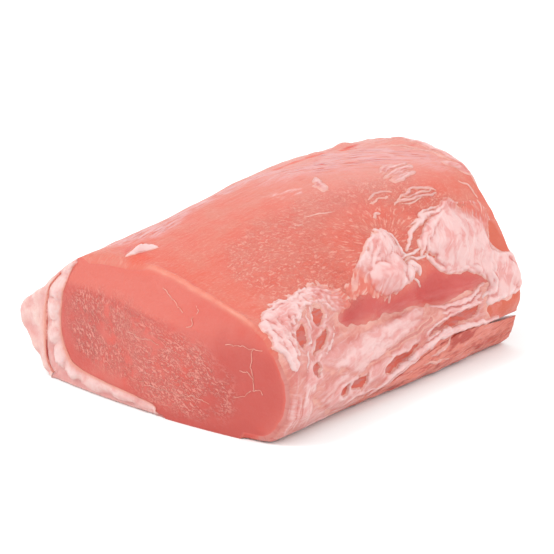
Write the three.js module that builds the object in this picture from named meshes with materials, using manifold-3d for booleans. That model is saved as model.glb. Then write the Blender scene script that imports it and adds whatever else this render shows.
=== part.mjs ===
// Boneless pork loin roast, raw: one block of the long back muscle, cut square at both ends.
// It lies on its underside, with a layer of back fat along one long side and under one edge.
// Millimetres, +Z up. X runs along the muscle from the near cut to the far cut.
// Y runs across it, from the rib side (torn fat and membrane) to the fat side.
import * as THREE from "three";
import Module from "manifold-3d";
import { mergeVertices } from "three/addons/utils/BufferGeometryUtils.js";

const wasm = await Module();
wasm.setup();

// ---------------------------------------------------------------- driving dimensions, mm
const HALF_LENGTH = 66.5; // from the middle to the corner of each cut
const GAP = 0.3; // between two layers of the meat
const CUT_BELLY = 5; // the near cut swells this far at the middle of its foot
const CUT_HALF_WIDE = 56; // from its middle to where that swelling is gone
const CUT_FLAT_HEIGHT = 70; // height where the swelling would be gone
const CREASE_HEIGHT = 34; // above this the near cut leans back
const CREASE_LEAN = 0.5; // millimetres back for each millimetre up
const LEAN_FADES = [-45, -5]; // Y over which that lean grows from its least to full
const LEAST_LEAN = 0.45; // share of it on the rib side
const FAR_BELLY = 3; // the far cut swells this far at its middle
const FAR_REACH = 60; // from its middle to where that swelling is gone
const FAR_MIDDLE = 35; // height of its middle
const FLAP_START = 52; // Y beyond which the near cut turns back round the fat
const FLAP_TURN = 0.12; // millimetres back for each millimetre out
const FAT_SPANS = 13; // lengths the fat layers are built in
const EYE_SPANS = 39; // lengths the lean is built in, three to each length of fat
const FAT_CLEAR = 0.03; // gap at the ends of a layer, as a share of the way between two landmarks
const EYE_CENTRE = [-5, 24]; // [y, z] the cut faces are drawn in to
const CAP_RINGS = [0.9, 0.72, 0.48, 0.24]; // shares out from that centre
const STEPS_ROUND = [2, 4, 4, 5, 5, 6, 7, 9, 10, 6, 5, 3, 5, 5, 3, 5]; // from each landmark to the next
const REACH_STEP = 0.05; // share of a landmark span, for measuring up the skin
const REACH_STEPS = 170;
const LEAST_STEP = 0.1; // landmark span under which a point beside the end of a run is left out
const MERGE_WITHIN = 1e-3; // corners closer than this become one

// The outline across the loin as [y, z] at four places along it, near cut first.
// It runs from under the middle to the rib side, up, over the crown and down the fat side.
const OUTLINE = {
  underMiddle: [[0, 0], [-2, 0], [-4, 0], [-5, 0]],
  seamEnd: [[-9, 0], [-11, 0], [-13, 0], [-14, 0]],
  underRib: [[-42, 0], [-42, 0], [-42, 0], [-42, 0]],
  ribToe: [[-53, 1.5], [-53, 1.5], [-53, 1.5], [-53, 1.5]],
  ribLow: [[-59.5, 10], [-58, 9], [-57.5, 9], [-59, 12]],
  ribBulge: [[-61, 20.5], [-57.5, 20], [-57, 22], [-61.5, 24]],
  ribHigh: [[-56, 31.5], [-52, 33], [-51, 36], [-54, 39]],
  ribShoulder: [[-45.5, 39.5], [-43.5, 43.5], [-43, 49.5], [-42, 55]],
  topRib: [[-27, 44], [-27, 52.5], [-27, 61], [-30, 66]],
  crown: [[4, 48.5], [1, 57], [-2, 66.5], [-6, 70.5]],
  topFat: [[27, 48.3], [24, 56], [19, 64.5], [15, 66]],
  fatShoulder: [[40.5, 45], [38, 50], [35, 56.5], [32, 56]],
  fatUpper: [[52, 34.5], [49, 37.5], [47, 40], [45, 41]],
  fatOuter: [[71.5, 19], [61, 19], [57.5, 21], [55, 22]],
  fatToe: [[54, 2], [52, 2], [50.5, 2], [50, 2]],
  underFat: [[40, 0], [38, 0], [38, 0], [38, 0]],
};

// Where the lean stops under the fat, at the same four places.
const LEAN_EDGE = {
  underMiddle: [[-2, 4.3], [-3, 3.5], [-4, 3], [-5, 3]],
  seamEnd: [[-8.6, 0.9], [-10.6, 0.9], [-12.6, 0.9], [-13.6, 0.9]],
  fatShoulder: [[39.4, 43.8], [36.8, 48.8], [33.6, 55.4], [30.7, 54.9]],
  fatUpper: [[41.8, 33], [40.5, 34.5], [39, 36], [37.5, 37]],
  fatOuter: [[43.6, 21], [43, 21], [43, 21.5], [42, 22]],
  fatToe: [[41.3, 11], [40, 10], [39, 9], [38.5, 9]],
  underFat: [[33, 6.8], [31, 6], [31, 5.5], [31, 5.5]],
};

// Where the thin red muscle runs inside the back fat, at the same four places.
const RED_LINE = {
  fatShoulder: [[41.4, 43.4], [38.4, 48.6], [35.2, 55], [32, 54.6]],
  fatUpper: [[49.6, 33.5], [46.5, 36], [44.5, 38], [42.5, 39]],
  fatOuter: [[51.4, 19], [49.5, 19.5], [48.8, 21], [47.8, 22]],
  fatToe: [[50.6, 5], [48.5, 5], [47, 5], [46.5, 5]],
  underFat: [[39, 0.8], [37, 0.8], [37, 0.8], [37, 0.8]],
};
const RED_FROM = 11.55; // where it starts and stops, in landmarks round from underMiddle
const RED_TO = 14.35;
const RED_THICK = 1;

// Relief of the rib side and top: [x, height up the skin, half length, half width, rise].
const RELIEF = [
  [5, 42, 11, 7, 3.2], // smooth lobe of fat in the middle
  [8, 54, 7, 9, 1.8], // its torn strands above
  [40, 49, 14, 12, 2.8], // broad mass of fat at the far end
  [30, 57, 9, 5, 1], // strands running from it
  [-24, 35, 14, 6, -2], // hollow of bare muscle under the fat
  [-2, 32, 14, 6, -2.6],
  [22, 32, 14, 7, -3.2],
  [45, 29, 9, 6, -1.6],
  [-42, 46, 16, 7, 0.9], // thin patch of fat by the near cut
  [-58, 33, 7, 8, 0.8],
  [-30, 23, 26, 6, 1.1], // swelling of the pale membrane
  [15, 23, 22, 4, 1.2],
  [-2, 13, 10, 3, -1.3], // bare muscle showing through the membrane
  [30, 20.5, 14, 3, -1.2],
  [-30, 12.5, 8, 3, -1.1],
  [57, 20, 10, 6, 1.2], // end of the muscle band above the rib strip
  [62, 43, 7, 6, -1], // bare muscle at the far corner
  [-51, 114, 6, 3, 2.4], // nub of fat on the upper edge of the near cut
];

// Raised lip along the top edge of the near cut, over this run up the skin.
const LIP_FROM = 45;
const LIP_TO = 108;
const LIP_RISE = 0.7;

// Height of the top edge of the rib strip along the loin, as [x, z].
const STRIP_EDGE = [
  [-22, 2.6],
  [-11, 5],
  [0, 8],
  [11, 11],
  [22, 13.2],
  [33, 14.6],
  [44, 14.4],
  [55, 12.9],
  [70, 12.2],
];
const STRIP_DEPTH = 8; // into the loin at its thickest
const STRIP_PROUD = 0.9; // bulge out of the rib side
const STRIP_FROM = -22; // x where it begins
const STRIP_GROWS = 45; // length over which it reaches its full depth
const STRIP_THIN = 0.15; // share of the full depth it begins with
const STRIP_FOOT = 0.45; // how far round under the loin it reaches, in landmark spans
const STRIP_POINTS = 8; // up each of its sides
const STRIP_SPANS = 14; // lengths it is built in
const STRIP_ENDS = 0.05; // share of its height kept from a feather edge
const BED_RISE = 0.15; // radians the open side of its bed rises past level
const BED_RUN_OUT = 0.003; // share of the length its bed is open before it
const STRIP_CLEAR = 3; // how far its bed is cut out past the skin
const NOTCH_FROM = 40; // beyond this x the strip stands apart from the lean above it
const NOTCH_WIDE = 2.2; // gap over the strip at the far cut

// ---------------------------------------------------------------- shaping functions
const names = Object.keys(OUTLINE);
const TOE = names.indexOf("ribToe");
const FAT_FROM = names.indexOf("fatShoulder");
const FAT_TO = names.length + names.indexOf("seamEnd");
const lerp = THREE.MathUtils.lerp;
const smoothstep = THREE.MathUtils.smoothstep;

// A value read off a list of [place, value] pairs by straight lines.
function readOff(pairs, place) {
  const last = pairs.length - 1;
  if (place <= pairs[0][0]) return pairs[0][1];
  if (place >= pairs[last][0]) return pairs[last][1];
  const k = pairs.findIndex(([at]) => at > place);
  const [a, from] = pairs[k - 1];
  const [b, to] = pairs[k];
  return lerp(from, to, (place - a) / (b - a));
}

// x of the near cut at a place in the section: swollen at the foot, leaning back above the crease.
function nearCut(y, z) {
  const belly = CUT_BELLY * (1 - (y / CUT_HALF_WIDE) ** 2) * (1 - z / CUT_FLAT_HEIGHT);
  const fade = lerp(LEAST_LEAN, 1, smoothstep(y, ...LEAN_FADES));
  const lean = CREASE_LEAN * Math.max(z - CREASE_HEIGHT, 0) * fade;
  const turn = FLAP_TURN * Math.max(y - FLAP_START, 0);
  return -HALF_LENGTH - belly + lean + turn;
}

// x of the far cut at a place in the section.
function farCut(y, z) {
  const across = 1 - (y / FAR_REACH) ** 2;
  return HALF_LENGTH + FAR_BELLY * across * (1 - ((z - FAR_MIDDLE) / FAR_REACH) ** 2);
}

// Closed section curve through the landmarks of a table at a share of the length.
function sectionCurve(table, share) {
  const points = names.map((name) => {
    const stations = (table[name] ?? OUTLINE[name]).map(([y, z]) => new THREE.Vector2(y, z));
    const p = new THREE.SplineCurve(stations).getPoint(share);
    return new THREE.Vector3(0, p.x, p.y);
  });
  return new THREE.CatmullRomCurve3(points, true, "catmullrom", 0.5);
}

// The point some millimetres on from one point towards another.
function towards([y, z], [toY, toZ], mm) {
  const t = mm / Math.hypot(toY - y, toZ - z);
  return [lerp(y, toY, t), lerp(z, toZ, t)];
}

// One section of the loin. A place v round it counts landmarks from underMiddle.
class Section {
  constructor(share) {
    this.share = share;
    this.skinCurve = sectionCurve(OUTLINE, share);
    this.leanCurve = sectionCurve(LEAN_EDGE, share);
    this.redCurve = sectionCurve(RED_LINE, share);
    this.reach = [0];
    for (let k = 1; k <= REACH_STEPS; k++) {
      const [y, z] = this.skin(TOE + k * REACH_STEP);
      const [beforeY, beforeZ] = this.skin(TOE + (k - 1) * REACH_STEP);
      this.reach.push(this.reach[k - 1] + Math.hypot(y - beforeY, z - beforeZ));
    }
  }

  at(curve, v) {
    const p = curve.getPoint((v / names.length) % 1);
    return [p.y, Math.max(p.z, 0)];
  }

  skin(v) {
    return this.at(this.skinCurve, v);
  }

  lean(v) {
    return this.at(this.leanCurve, v);
  }

  // Some millimetres in from the line of the red muscle.
  red(v, mm) {
    return towards(this.at(this.redCurve, v), this.lean(v), mm);
  }

  // Length up the skin from the rib toe.
  upSkin(v) {
    const k = Math.round((v - TOE) / REACH_STEP);
    return k < 0 ? -1 : this.reach[Math.min(k, REACH_STEPS)];
  }

  // Unit direction out of the skin.
  outward(v) {
    const [aY, aZ] = this.skin(v - REACH_STEP);
    const [bY, bZ] = this.skin(v + REACH_STEP);
    const long = Math.hypot(bY - aY, bZ - aZ);
    return [(aZ - bZ) / long, (bY - aY) / long];
  }

  place([y, z]) {
    return new THREE.Vector3(lerp(nearCut(y, z), farCut(y, z), this.share), y, z);
  }
}

// Rise of the relief at a place on the skin.
function rise(x, up) {
  let sum = 0;
  for (const [middleX, middleUp, halfLength, halfWidth, high] of RELIEF) {
    const d = Math.hypot((x - middleX) / halfLength, (up - middleUp) / halfWidth);
    if (d < 1) sum += high * (1 - d * d) ** 2;
  }
  return sum;
}

// ---------------------------------------------------------------- closed bodies
function solidFrom(corners, tris) {
  const vertProperties = new Float32Array(corners.flatMap((p) => p.toArray()));
  const triVerts = new Uint32Array(tris.flat());
  return new wasm.Manifold(new wasm.Mesh({ numProp: 3, vertProperties, triVerts }));
}

// Triangles of the sleeve through rings of equal count, laid out one after another.
function sleeve(rings, count) {
  const tris = [];
  for (let i = 0; i + 1 < rings; i++) {
    for (let j = 0; j < count; j++) {
      const a = i * count + j;
      const b = i * count + ((j + 1) % count);
      tris.push([a, a + count, b], [b, a + count, b + count]);
    }
  }
  return tris;
}

// A body through rings, its two ends closed by rings drawn in to a centre point.
function bodyThrough(rings, centre, endX) {
  const corners = rings.flat();
  const count = rings[0].length;
  const tris = sleeve(rings.length, count);
  const add = (x, y, z) => corners.push(new THREE.Vector3(x, y, z)) - 1;
  [0, rings.length - 1].forEach((which, side) => {
    const turn = (t) => (side === 0 ? t : t.toReversed());
    let from = Array.from({ length: count }, (_, j) => which * count + j);
    for (const shrink of CAP_RINGS) {
      const next = rings[which].map((p) => {
        const y = lerp(centre[0], p.y, shrink);
        const z = lerp(centre[1], p.z, shrink);
        return add(endX[side](y, z), y, z);
      });
      for (let j = 0; j < count; j++) {
        const k = (j + 1) % count;
        tris.push(turn([from[j], from[k], next[j]]), turn([from[k], next[k], next[j]]));
      }
      from = next;
    }
    const hub = add(endX[side](...centre), ...centre);
    for (let j = 0; j < count; j++) tris.push(turn([from[j], from[(j + 1) % count], hub]));
  });
  return solidFrom(corners, tris);
}

// A layer between an outside and an inside run of points in each section.
function layerThrough(outsides, insides) {
  const count = outsides[0].length;
  const ring = 2 * count;
  const corners = outsides.flatMap((run, i) => [...run, ...insides[i].toReversed()]);
  const tris = sleeve(outsides.length, ring);
  for (const which of [0, outsides.length - 1]) {
    const turn = (t) => (which === 0 ? t : t.toReversed());
    for (let j = 0; j + 1 < count; j++) {
      const a = which * ring + j;
      const d = which * ring + ring - 1 - j;
      tris.push(turn([a, a + 1, d]), turn([a + 1, d - 1, d]));
    }
  }
  return solidFrom(corners, tris);
}

// Places round a run of the section, so many steps to each span between landmarks.
function placesRound(from, to) {
  const list = [from];
  for (let span = Math.floor(from); span < to; span++) {
    const count = STEPS_ROUND[span % names.length];
    for (let k = 1; k <= count; k++) {
      const v = span + k / count;
      if (v > from + LEAST_STEP && v < to - LEAST_STEP) list.push(v);
    }
  }
  return [...list, to];
}

// ---------------------------------------------------------------- lean eye of the loin
const fatSections = Array.from({ length: FAT_SPANS + 1 }, (_, i) => new Section(i / FAT_SPANS));
const bareRun = placesRound(FAT_TO - names.length + FAT_CLEAR, FAT_FROM - FAT_CLEAR);
const fatRun = placesRound(FAT_FROM, FAT_TO);
const underFat = fatSections.map((s) => fatRun.map((v) => s.place(towards(s.lean(v), s.skin(v), -GAP))));

const eyeRings = Array.from({ length: EYE_SPANS + 1 }, (_, i) => {
  const section = new Section(i / EYE_SPANS);
  const bare = bareRun.map((v) => {
    const [y, z] = section.skin(v);
    const [outY, outZ] = section.outward(v);
    const along = section.upSkin(v);
    const lip = i === 0 && along > LIP_FROM && along < LIP_TO ? LIP_RISE : 0;
    const up = z > 0 ? rise(section.place([y, z]).x, along) + lip : 0;
    return section.place([y + outY * up, z + outZ * up]);
  });
  const k = Math.min(Math.floor((i * FAT_SPANS) / EYE_SPANS), FAT_SPANS - 1);
  const t = (i * FAT_SPANS) / EYE_SPANS - k;
  const covered = underFat[k].map((p, j) => p.clone().lerp(underFat[k + 1][j], t));
  return [...bare, ...covered];
});
const wholeEye = bodyThrough(eyeRings, EYE_CENTRE, [nearCut, farCut]);

// ---------------------------------------------------------------- back fat and its thin muscle
const overRed = fatRun.filter((v) => v > RED_FROM + LEAST_STEP && v < RED_TO - LEAST_STEP);
const redRun = [RED_FROM, ...overRed, RED_TO];
const open = (v) => ({ v, bed: false });
const bed = (v) => ({ v, bed: true });
const bandRun = [
  ...fatRun.filter((v) => v < RED_FROM - LEAST_STEP).map(open),
  open(RED_FROM - 2 * FAT_CLEAR),
  bed(RED_FROM - FAT_CLEAR),
  ...overRed.map(bed),
  bed(RED_TO + FAT_CLEAR),
  open(RED_TO + 2 * FAT_CLEAR),
  ...fatRun.filter((v) => v > RED_TO + LEAST_STEP).map(open),
];
const layer = (run, outside, inside) => layerThrough(
  fatSections.map((s) => run.map((v) => s.place(outside(s, v)))),
  fatSections.map((s) => run.map((v) => s.place(inside(s, v)))),
);
const outerFat = layer(redRun, (s, v) => s.skin(v), (s, v) => s.red(v, 0));
const seamMuscle = layer(redRun, (s, v) => s.red(v, GAP), (s, v) => s.red(v, GAP + RED_THICK));
const innerFat = layer(
  bandRun,
  (s, { v, bed }) => (bed ? s.red(v, RED_THICK + 2 * GAP) : s.skin(v)),
  (s, { v }) => s.lean(v),
);

// ---------------------------------------------------------------- rib strip
// One section of the strip: its outside from foot to top, then its inside the same way.
// The grown strip is the bed cut for it: wider by the gap and open over its top at the far end.
function stripSection(share, grown) {
  const section = new Section(share);
  const x = lerp(-HALF_LENGTH, HALF_LENGTH, share);
  const notch = GAP + NOTCH_WIDE * smoothstep(x, NOTCH_FROM, HALF_LENGTH);
  const top = readOff(STRIP_EDGE, x) + (grown ? notch : 0);
  const swell = Math.max(smoothstep(x, STRIP_FROM, STRIP_FROM + STRIP_GROWS), STRIP_THIN);
  let topPlace = TOE;
  while (section.skin(topPlace)[1] < top) topPlace += REACH_STEP / 2;
  const footPlace = TOE - STRIP_FOOT - (grown ? FAT_CLEAR : 0);
  const outside = Array.from({ length: STRIP_POINTS }, (_, k) => {
    const t = k / (STRIP_POINTS - 1);
    const v = lerp(footPlace, topPlace, t);
    const [y, z] = section.skin(v);
    if (grown) {
      const turn = (Math.PI / 2 + BED_RISE) * t;
      return [y - STRIP_CLEAR * Math.sin(turn), z - STRIP_CLEAR * Math.cos(turn)];
    }
    const [outY, outZ] = section.outward(v);
    const proud = STRIP_PROUD * swell * Math.sin(Math.PI * t);
    return [y + outY * proud, Math.max(z + outZ * proud, 0)];
  });
  const [footY, footZ] = section.skin(footPlace);
  const [topY, topZ] = section.skin(topPlace);
  const deep = STRIP_DEPTH * swell + (grown ? notch : 0);
  const inside = outside.map((_, k) => {
    const t = lerp(STRIP_ENDS, 1 - STRIP_ENDS, k / (STRIP_POINTS - 1));
    const sag = deep * 4 * t * (1 - t);
    return [lerp(footY, topY, t) + sag, lerp(footZ, topZ, t)];
  });
  return { section, outside, inside };
}

const stripStart = (STRIP_FROM + HALF_LENGTH) / (2 * HALF_LENGTH);
const stripShares = Array.from({ length: STRIP_SPANS + 1 }, (_, i) => lerp(stripStart, 1, i / STRIP_SPANS));
const stripParts = stripShares.map((share) => stripSection(share, false));
const ribStrip = layerThrough(
  stripParts.map(({ section, outside }) => outside.map((p) => section.place(p))),
  stripParts.map(({ section, inside }) => inside.map((p) => section.place(p))),
);

const bedShares = [stripStart - BED_RUN_OUT, ...stripShares.slice(1)];
const bedParts = bedShares.map((share) => stripSection(share, true));
const bedRuns = (side) => {
  const runs = bedParts.map((part) => part[side].map((p) => part.section.place(p)));
  const past = new THREE.Vector3(STRIP_CLEAR, 0, 0);
  return [...runs, runs.at(-1).map((p) => p.clone().add(past))];
};
const stripBed = layerThrough(bedRuns("outside"), bedRuns("inside"));
const loinEye = wholeEye.subtract(stripBed);

// ---------------------------------------------------------------- meshes
const solids = {
  loin_eye: [loinEye, "lean pork", 0xd9756a, 0.42],
  inner_fat: [innerFat, "firm white back fat", 0xf6ddd6, 0.5],
  seam_muscle: [seamMuscle, "thin red muscle", 0xd0553f, 0.45],
  outer_fat: [outerFat, "soft pink back fat", 0xf7cfc6, 0.5],
  rib_strip: [ribStrip, "dark lean pork", 0xcf6557, 0.42],
};

const loin = new THREE.Group();
loin.name = "boneless_pork_loin";
for (const [name, [solid, material, color, roughness]] of Object.entries(solids)) {
  const { vertProperties, triVerts } = solid.getMesh();
  const raw = new THREE.BufferGeometry();
  raw.setAttribute("position", new THREE.BufferAttribute(new Float32Array(vertProperties), 3));
  raw.setIndex(new THREE.BufferAttribute(new Uint32Array(triVerts), 1));
  const geometry = mergeVertices(raw, MERGE_WITHIN);
  geometry.computeVertexNormals();
  const surface = new THREE.MeshStandardMaterial({ name: material, color, roughness });
  const mesh = new THREE.Mesh(geometry, surface);
  mesh.name = name;
  loin.add(mesh);
}

// The origin goes under the middle of the block.
const box = new THREE.Box3().setFromObject(loin);
const middle = box.getCenter(new THREE.Vector3());
for (const mesh of loin.children) mesh.geometry.translate(-middle.x, -middle.y, -box.min.z);

export default loin;
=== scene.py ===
import math

import bpy
import numpy as np
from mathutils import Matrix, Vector


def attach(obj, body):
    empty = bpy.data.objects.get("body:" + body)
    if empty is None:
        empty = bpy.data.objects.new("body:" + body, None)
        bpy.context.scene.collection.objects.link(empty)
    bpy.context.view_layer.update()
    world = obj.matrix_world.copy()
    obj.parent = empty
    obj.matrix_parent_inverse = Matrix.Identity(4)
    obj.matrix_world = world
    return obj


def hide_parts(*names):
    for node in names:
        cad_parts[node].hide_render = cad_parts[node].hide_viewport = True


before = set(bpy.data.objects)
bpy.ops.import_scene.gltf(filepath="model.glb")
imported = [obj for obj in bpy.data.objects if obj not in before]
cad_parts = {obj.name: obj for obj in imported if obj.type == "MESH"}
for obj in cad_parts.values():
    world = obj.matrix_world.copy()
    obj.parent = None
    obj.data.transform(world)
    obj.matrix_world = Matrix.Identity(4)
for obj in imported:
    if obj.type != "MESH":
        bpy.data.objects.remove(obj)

bl_info = {
    "name": "Boneless pork loin roast",
    "version": (1, 0, 0),
    "blender": (4, 5, 0),
    "location": "3D View > Sidebar > Pork Loin",
    "description": "Builds a raw boneless pork loin roast with its fat, torn membrane and marbled cut",
    "category": "Object",
}

# The loin is worked out in millimetres in the frame its outline was drawn in. X runs along the
# muscle from the near cut, Y across it to the fat side, Z up. A place on the skin is given by x
# and by "up", the length up the skin from the toe of the rib side.
MM = 0.001
MIDDLE = np.array([-1.0004, 4.6996, 0.0])  # where the model's origin lies in that frame

# ---------------------------------------------------------------- sizes shared with the solids
HALF_LENGTH = 66.5
CUT_BELLY = 5.0
CUT_HALF_WIDE = 56.0
CUT_FLAT_HEIGHT = 70.0
CREASE_HEIGHT = 34.0
CREASE_LEAN = 0.5
LEAN_FADES = (-45.0, -5.0)
LEAST_LEAN = 0.45
FAR_BELLY = 3.0
FAR_REACH = 60.0
FAR_MIDDLE = 35.0
FLAP_START = 52.0
FLAP_TURN = 0.12
FAT_CLEAR = 0.03
SEAM = -0.1  # gap between layers, less than nothing so that they press into each other
EYE_CENTRE = (-5.0, 18.5)

# The outline across the loin as (y, z) at four places along it, near cut first.
OUTLINE = {
    "under_middle": [(0, 0), (-2, 0), (-4, 0), (-5, 0)],
    "seam_end": [(-9, 0), (-11, 0), (-13, 0), (-14, 0)],
    "under_rib": [(-42, 0)] * 4,
    "rib_toe": [(-53, 1.5)] * 4,
    "rib_low": [(-59.5, 10), (-58, 9), (-57.5, 9), (-59, 12)],
    "rib_bulge": [(-61, 20.5), (-57.5, 20), (-57, 22), (-61.5, 24)],
    "rib_high": [(-56, 31.5), (-52, 33), (-51, 36), (-54, 39)],
    "rib_shoulder": [(-45.5, 39.5), (-43.5, 43.5), (-43, 49.5), (-42, 55)],
    "top_rib": [(-27, 44), (-27, 52.5), (-27, 61), (-30, 66)],
    "crown": [(4, 48.5), (1, 57), (-2, 66.5), (-6, 70.5)],
    "top_fat": [(27, 48.3), (24, 56), (19, 64.5), (15, 66)],
    "fat_shoulder": [(40.5, 45), (38, 50), (35, 56.5), (32, 56)],
    "fat_upper": [(52, 34.5), (49, 37.5), (47, 40), (45, 41)],
    "fat_outer": [(71.5, 19), (61, 19), (57.5, 21), (55, 22)],
    "fat_toe": [(54, 2), (52, 2), (50.5, 2), (50, 2)],
    "under_fat": [(40, 0), (38, 0), (38, 0), (38, 0)],
}
# Where the lean stops under the fat.
LEAN_EDGE = {
    "under_middle": [(-2, 4.3), (-3, 3.5), (-4, 3), (-5, 3)],
    "seam_end": [(-8.6, 0.9), (-10.6, 0.9), (-12.6, 0.9), (-13.6, 0.9)],
    "fat_shoulder": [(39.4, 43.8), (36.8, 48.8), (33.6, 55.4), (30.7, 54.9)],
    "fat_upper": [(41.8, 33), (40.5, 34.5), (39, 36), (37.5, 37)],
    "fat_outer": [(42.8, 21), (42.6, 21), (43, 21.5), (42, 22)],
    "fat_toe": [(39.6, 12.6), (39.4, 10.6), (39, 9), (38.5, 9)],
    "under_fat": [(31.6, 7.8), (30.6, 6.2), (31, 5.5), (31, 5.5)],
}
# Where the thin red muscle runs inside the back fat.
RED_LINE = {
    "fat_shoulder": [(41.4, 43.4), (38.4, 48.6), (35.2, 55), (32, 54.6)],
    "fat_upper": [(49.6, 33.5), (46.5, 36), (44.5, 38), (42.5, 39)],
    "fat_outer": [(51.4, 19), (49.5, 19.5), (48.8, 21), (47.8, 22)],
    "fat_toe": [(50.6, 5), (48.5, 5), (47, 5), (46.5, 5)],
    "under_fat": [(39, 0.8), (37, 0.8), (37, 0.8), (37, 0.8)],
}
RED_FROM = 11.55
RED_TO = 14.35
RED_THICK = 1.0

# Large relief of the rib side and top: (x, up, half length, half width, rise).
RELIEF = [
    (5, 42, 11, 7, 3.2),
    (8, 54, 7, 9, 1.8),
    (40, 49, 14, 12, 2.8),
    (30, 57, 9, 5, 1),
    (-24, 35, 14, 6, -2),
    (-2, 32, 14, 6, -2.6),
    (22, 32, 14, 7, -3.2),
    (45, 29, 9, 6, -1.6),
    (-42, 46, 16, 7, 0.9),
    (-58, 33, 7, 8, 0.8),
    (-30, 23, 26, 6, 1.1),
    (15, 23, 22, 4, 1.2),
    (-2, 13, 10, 3, -1.3),
    (30, 20.5, 14, 3, -1.2),
    (-30, 12.5, 8, 3, -1.1),
    (57, 20, 10, 6, 1.2),
    (62, 43, 7, 6, -1),
    (-51, 114, 6, 3, 2.4),
]
# The raised lip on the near cut's top edge, from and to so far up the skin.
LIP_FROM = 45.0
LIP_TO = 104.0
LIP_RISE = 0.5
LIP_WIDE = 0.7
LIP_BACK = 0.8  # how far behind the cut its crest lies
EDGE_ROUND = 1.1  # radius of the edges of the cuts
FAT_STARTS_UP = 132.0  # how far up the skin the back fat starts
HOLE_SINK = 0.45  # how far the bare muscle lies under the membrane in its holes
EYE_RADIUS = 45.0  # of the cuts, about

# The strip of rib muscle, as (x, height of its upper edge).
STRIP_EDGE = [
    (-22, 2.6), (-11, 5), (0, 8), (11, 11), (22, 13.2), (33, 14.6), (44, 14.4), (55, 12.9), (70, 12.2),
]
STRIP_DEPTH = 8.0
STRIP_PROUD = 0.9
STRIP_FROM = -22.0
STRIP_GROWS = 45.0  # run along the loin in which it reaches its full depth
STRIP_THIN = 0.15  # share of its depth that it starts with
STRIP_FOOT = 0.45  # how far round the section from the toe it starts
STRIP_ENDS = 0.05  # share of its height by which its inside stops short of either edge
NOTCH_FROM = 40.0  # from here on a gap opens between the strip and the lean above it
NOTCH_WIDE = 2.2

NAMES = list(OUTLINE)
TURN = len(NAMES)
TOE = NAMES.index("rib_toe")
FAT_FROM = NAMES.index("fat_shoulder")
FAT_TO = TURN + NAMES.index("seam_end")

# ---------------------------------------------------------------- what lies on the skin, (x, up)
# A rope is a line with a half width and a rise; a lump is a middle, two radii and a rise.
NEAR_PATCH = [
    (-61, 49), (-57, 51.2), (-53, 52.4), (-48.6, 53), (-45, 51), (-42, 52), (-38, 52.5), (-34, 52),
    (-28.5, 50.3), (-23, 46.8), (-20.5, 43), (-21, 39), (-25, 37.8), (-30, 39.8), (-33, 42.6), (-36, 45.2),
    (-40, 45), (-45, 44), (-49, 42), (-53.5, 39), (-56, 35), (-57.4, 30.6), (-60.5, 27), (-63.4, 31),
    (-65, 38), (-64, 44),
]
NEAR_ROPES = [
    ([(-60, 49), (-53, 51.3), (-48, 51.6), (-43, 50.4), (-38, 51.3), (-32, 50.4)], 0.9, 0.7),
    ([(-44, 48.5), (-36, 49.3), (-30, 48.4), (-25, 45.6), (-22.6, 42)], 0.8, 0.5),
    ([(-34, 44), (-30, 41.2), (-26, 39.2), (-22, 39.6)], 0.9, 0.6),
    ([(-60, 49), (-63, 43), (-64, 38), (-63, 32), (-61, 28)], 1.6, 1.1),
    ([(-57, 47), (-59.5, 41), (-60, 35), (-60, 30)], 1.6, 0.9),
    ([(-43, 44), (-45.6, 38), (-49, 34), (-54.6, 28), (-57, 20)], 0.9, 0.5),
    ([(-40, 45), (-42, 40.6), (-43.6, 36)], 0.8, 0.5),
    ([(-33, 42), (-35.4, 37.6), (-37.4, 36.4)], 0.9, 0.4),
    ([(-46, 33), (-50, 31.4), (-54.6, 30)], 0.8, 0.4),
    ([(-33, 36), (-36.6, 31.6), (-42, 28.4), (-49, 24)], 1.4, 0.4),
]
NEAR_LUMPS = [
    (-62, 45, 3.4, 3, 0.9), (-57, 48, 3.4, 3, 0.8), (-62.6, 39, 2.6, 3.6, 0.9), (-61, 33.5, 2.4, 3.4, 0.9),
    (-58.6, 41, 3, 3.6, 0.8), (-52.5, 47.5, 4, 3, 0.6), (-45.5, 48.6, 4, 2.6, 0.4),
    (-61, 29.3, 1.8, 2.6, 0.8), (-27, 42.6, 4, 3, 0.4),
]
NEAR_FLOW = [
    [(-62, 46), (-57, 49), (-50, 49.5), (-42, 49.5), (-35, 49), (-28, 46)],
    [(-61, 43), (-56, 46), (-50, 47), (-42, 47), (-34, 46.5), (-26, 43)],
    [(-60, 40), (-56, 42.5), (-50, 45), (-42, 45), (-34, 42.5), (-24, 39.5)],
]
NEAR_FALLS = [
    [(-63, 46), (-64, 40), (-63.5, 33), (-62, 27)],
    [(-58, 46), (-60, 40), (-60, 34), (-60, 27)],
    [(-50, 46), (-54, 40), (-57.5, 34), (-59.5, 25)],
]
MIDDLE_LOBE = [
    (9.5, 60.5), (11.6, 60.8), (14, 57.5), (13.6, 53.5), (14.6, 50.5), (13.2, 47), (13, 44.5), (16, 43),
    (16, 40), (12, 37.6), (8, 37.6), (5, 36.6), (-1, 36.4), (-6, 38), (-11, 40), (-16, 40), (-21, 40.6),
    (-17, 43), (-19, 45.4), (-11, 47.6), (-8, 50.6), (-1, 54), (5, 58.4),
]
MIDDLE_FLOW = [
    [(12, 60.2), (7, 55.4), (2, 51.3), (-3, 47.6), (-7, 44)],
    [(12.5, 59.8), (10, 54.3), (6, 49.5), (3, 46), (0, 42)],
    [(13, 59), (12.8, 53.3), (12, 48.5), (11, 45), (10, 41)],
]
MIDDLE_STRAY = [
    [(8, 60.7), (1, 56.5), (-7, 51.2), (-14, 46.4), (-21, 43)],
    [(11, 60.5), (4, 55.5), (-3.5, 51), (-11, 46.2), (-19, 41)],
    [(12, 60), (5, 54.5), (-2, 49.5), (-8, 45), (-15, 40)],
]
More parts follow.
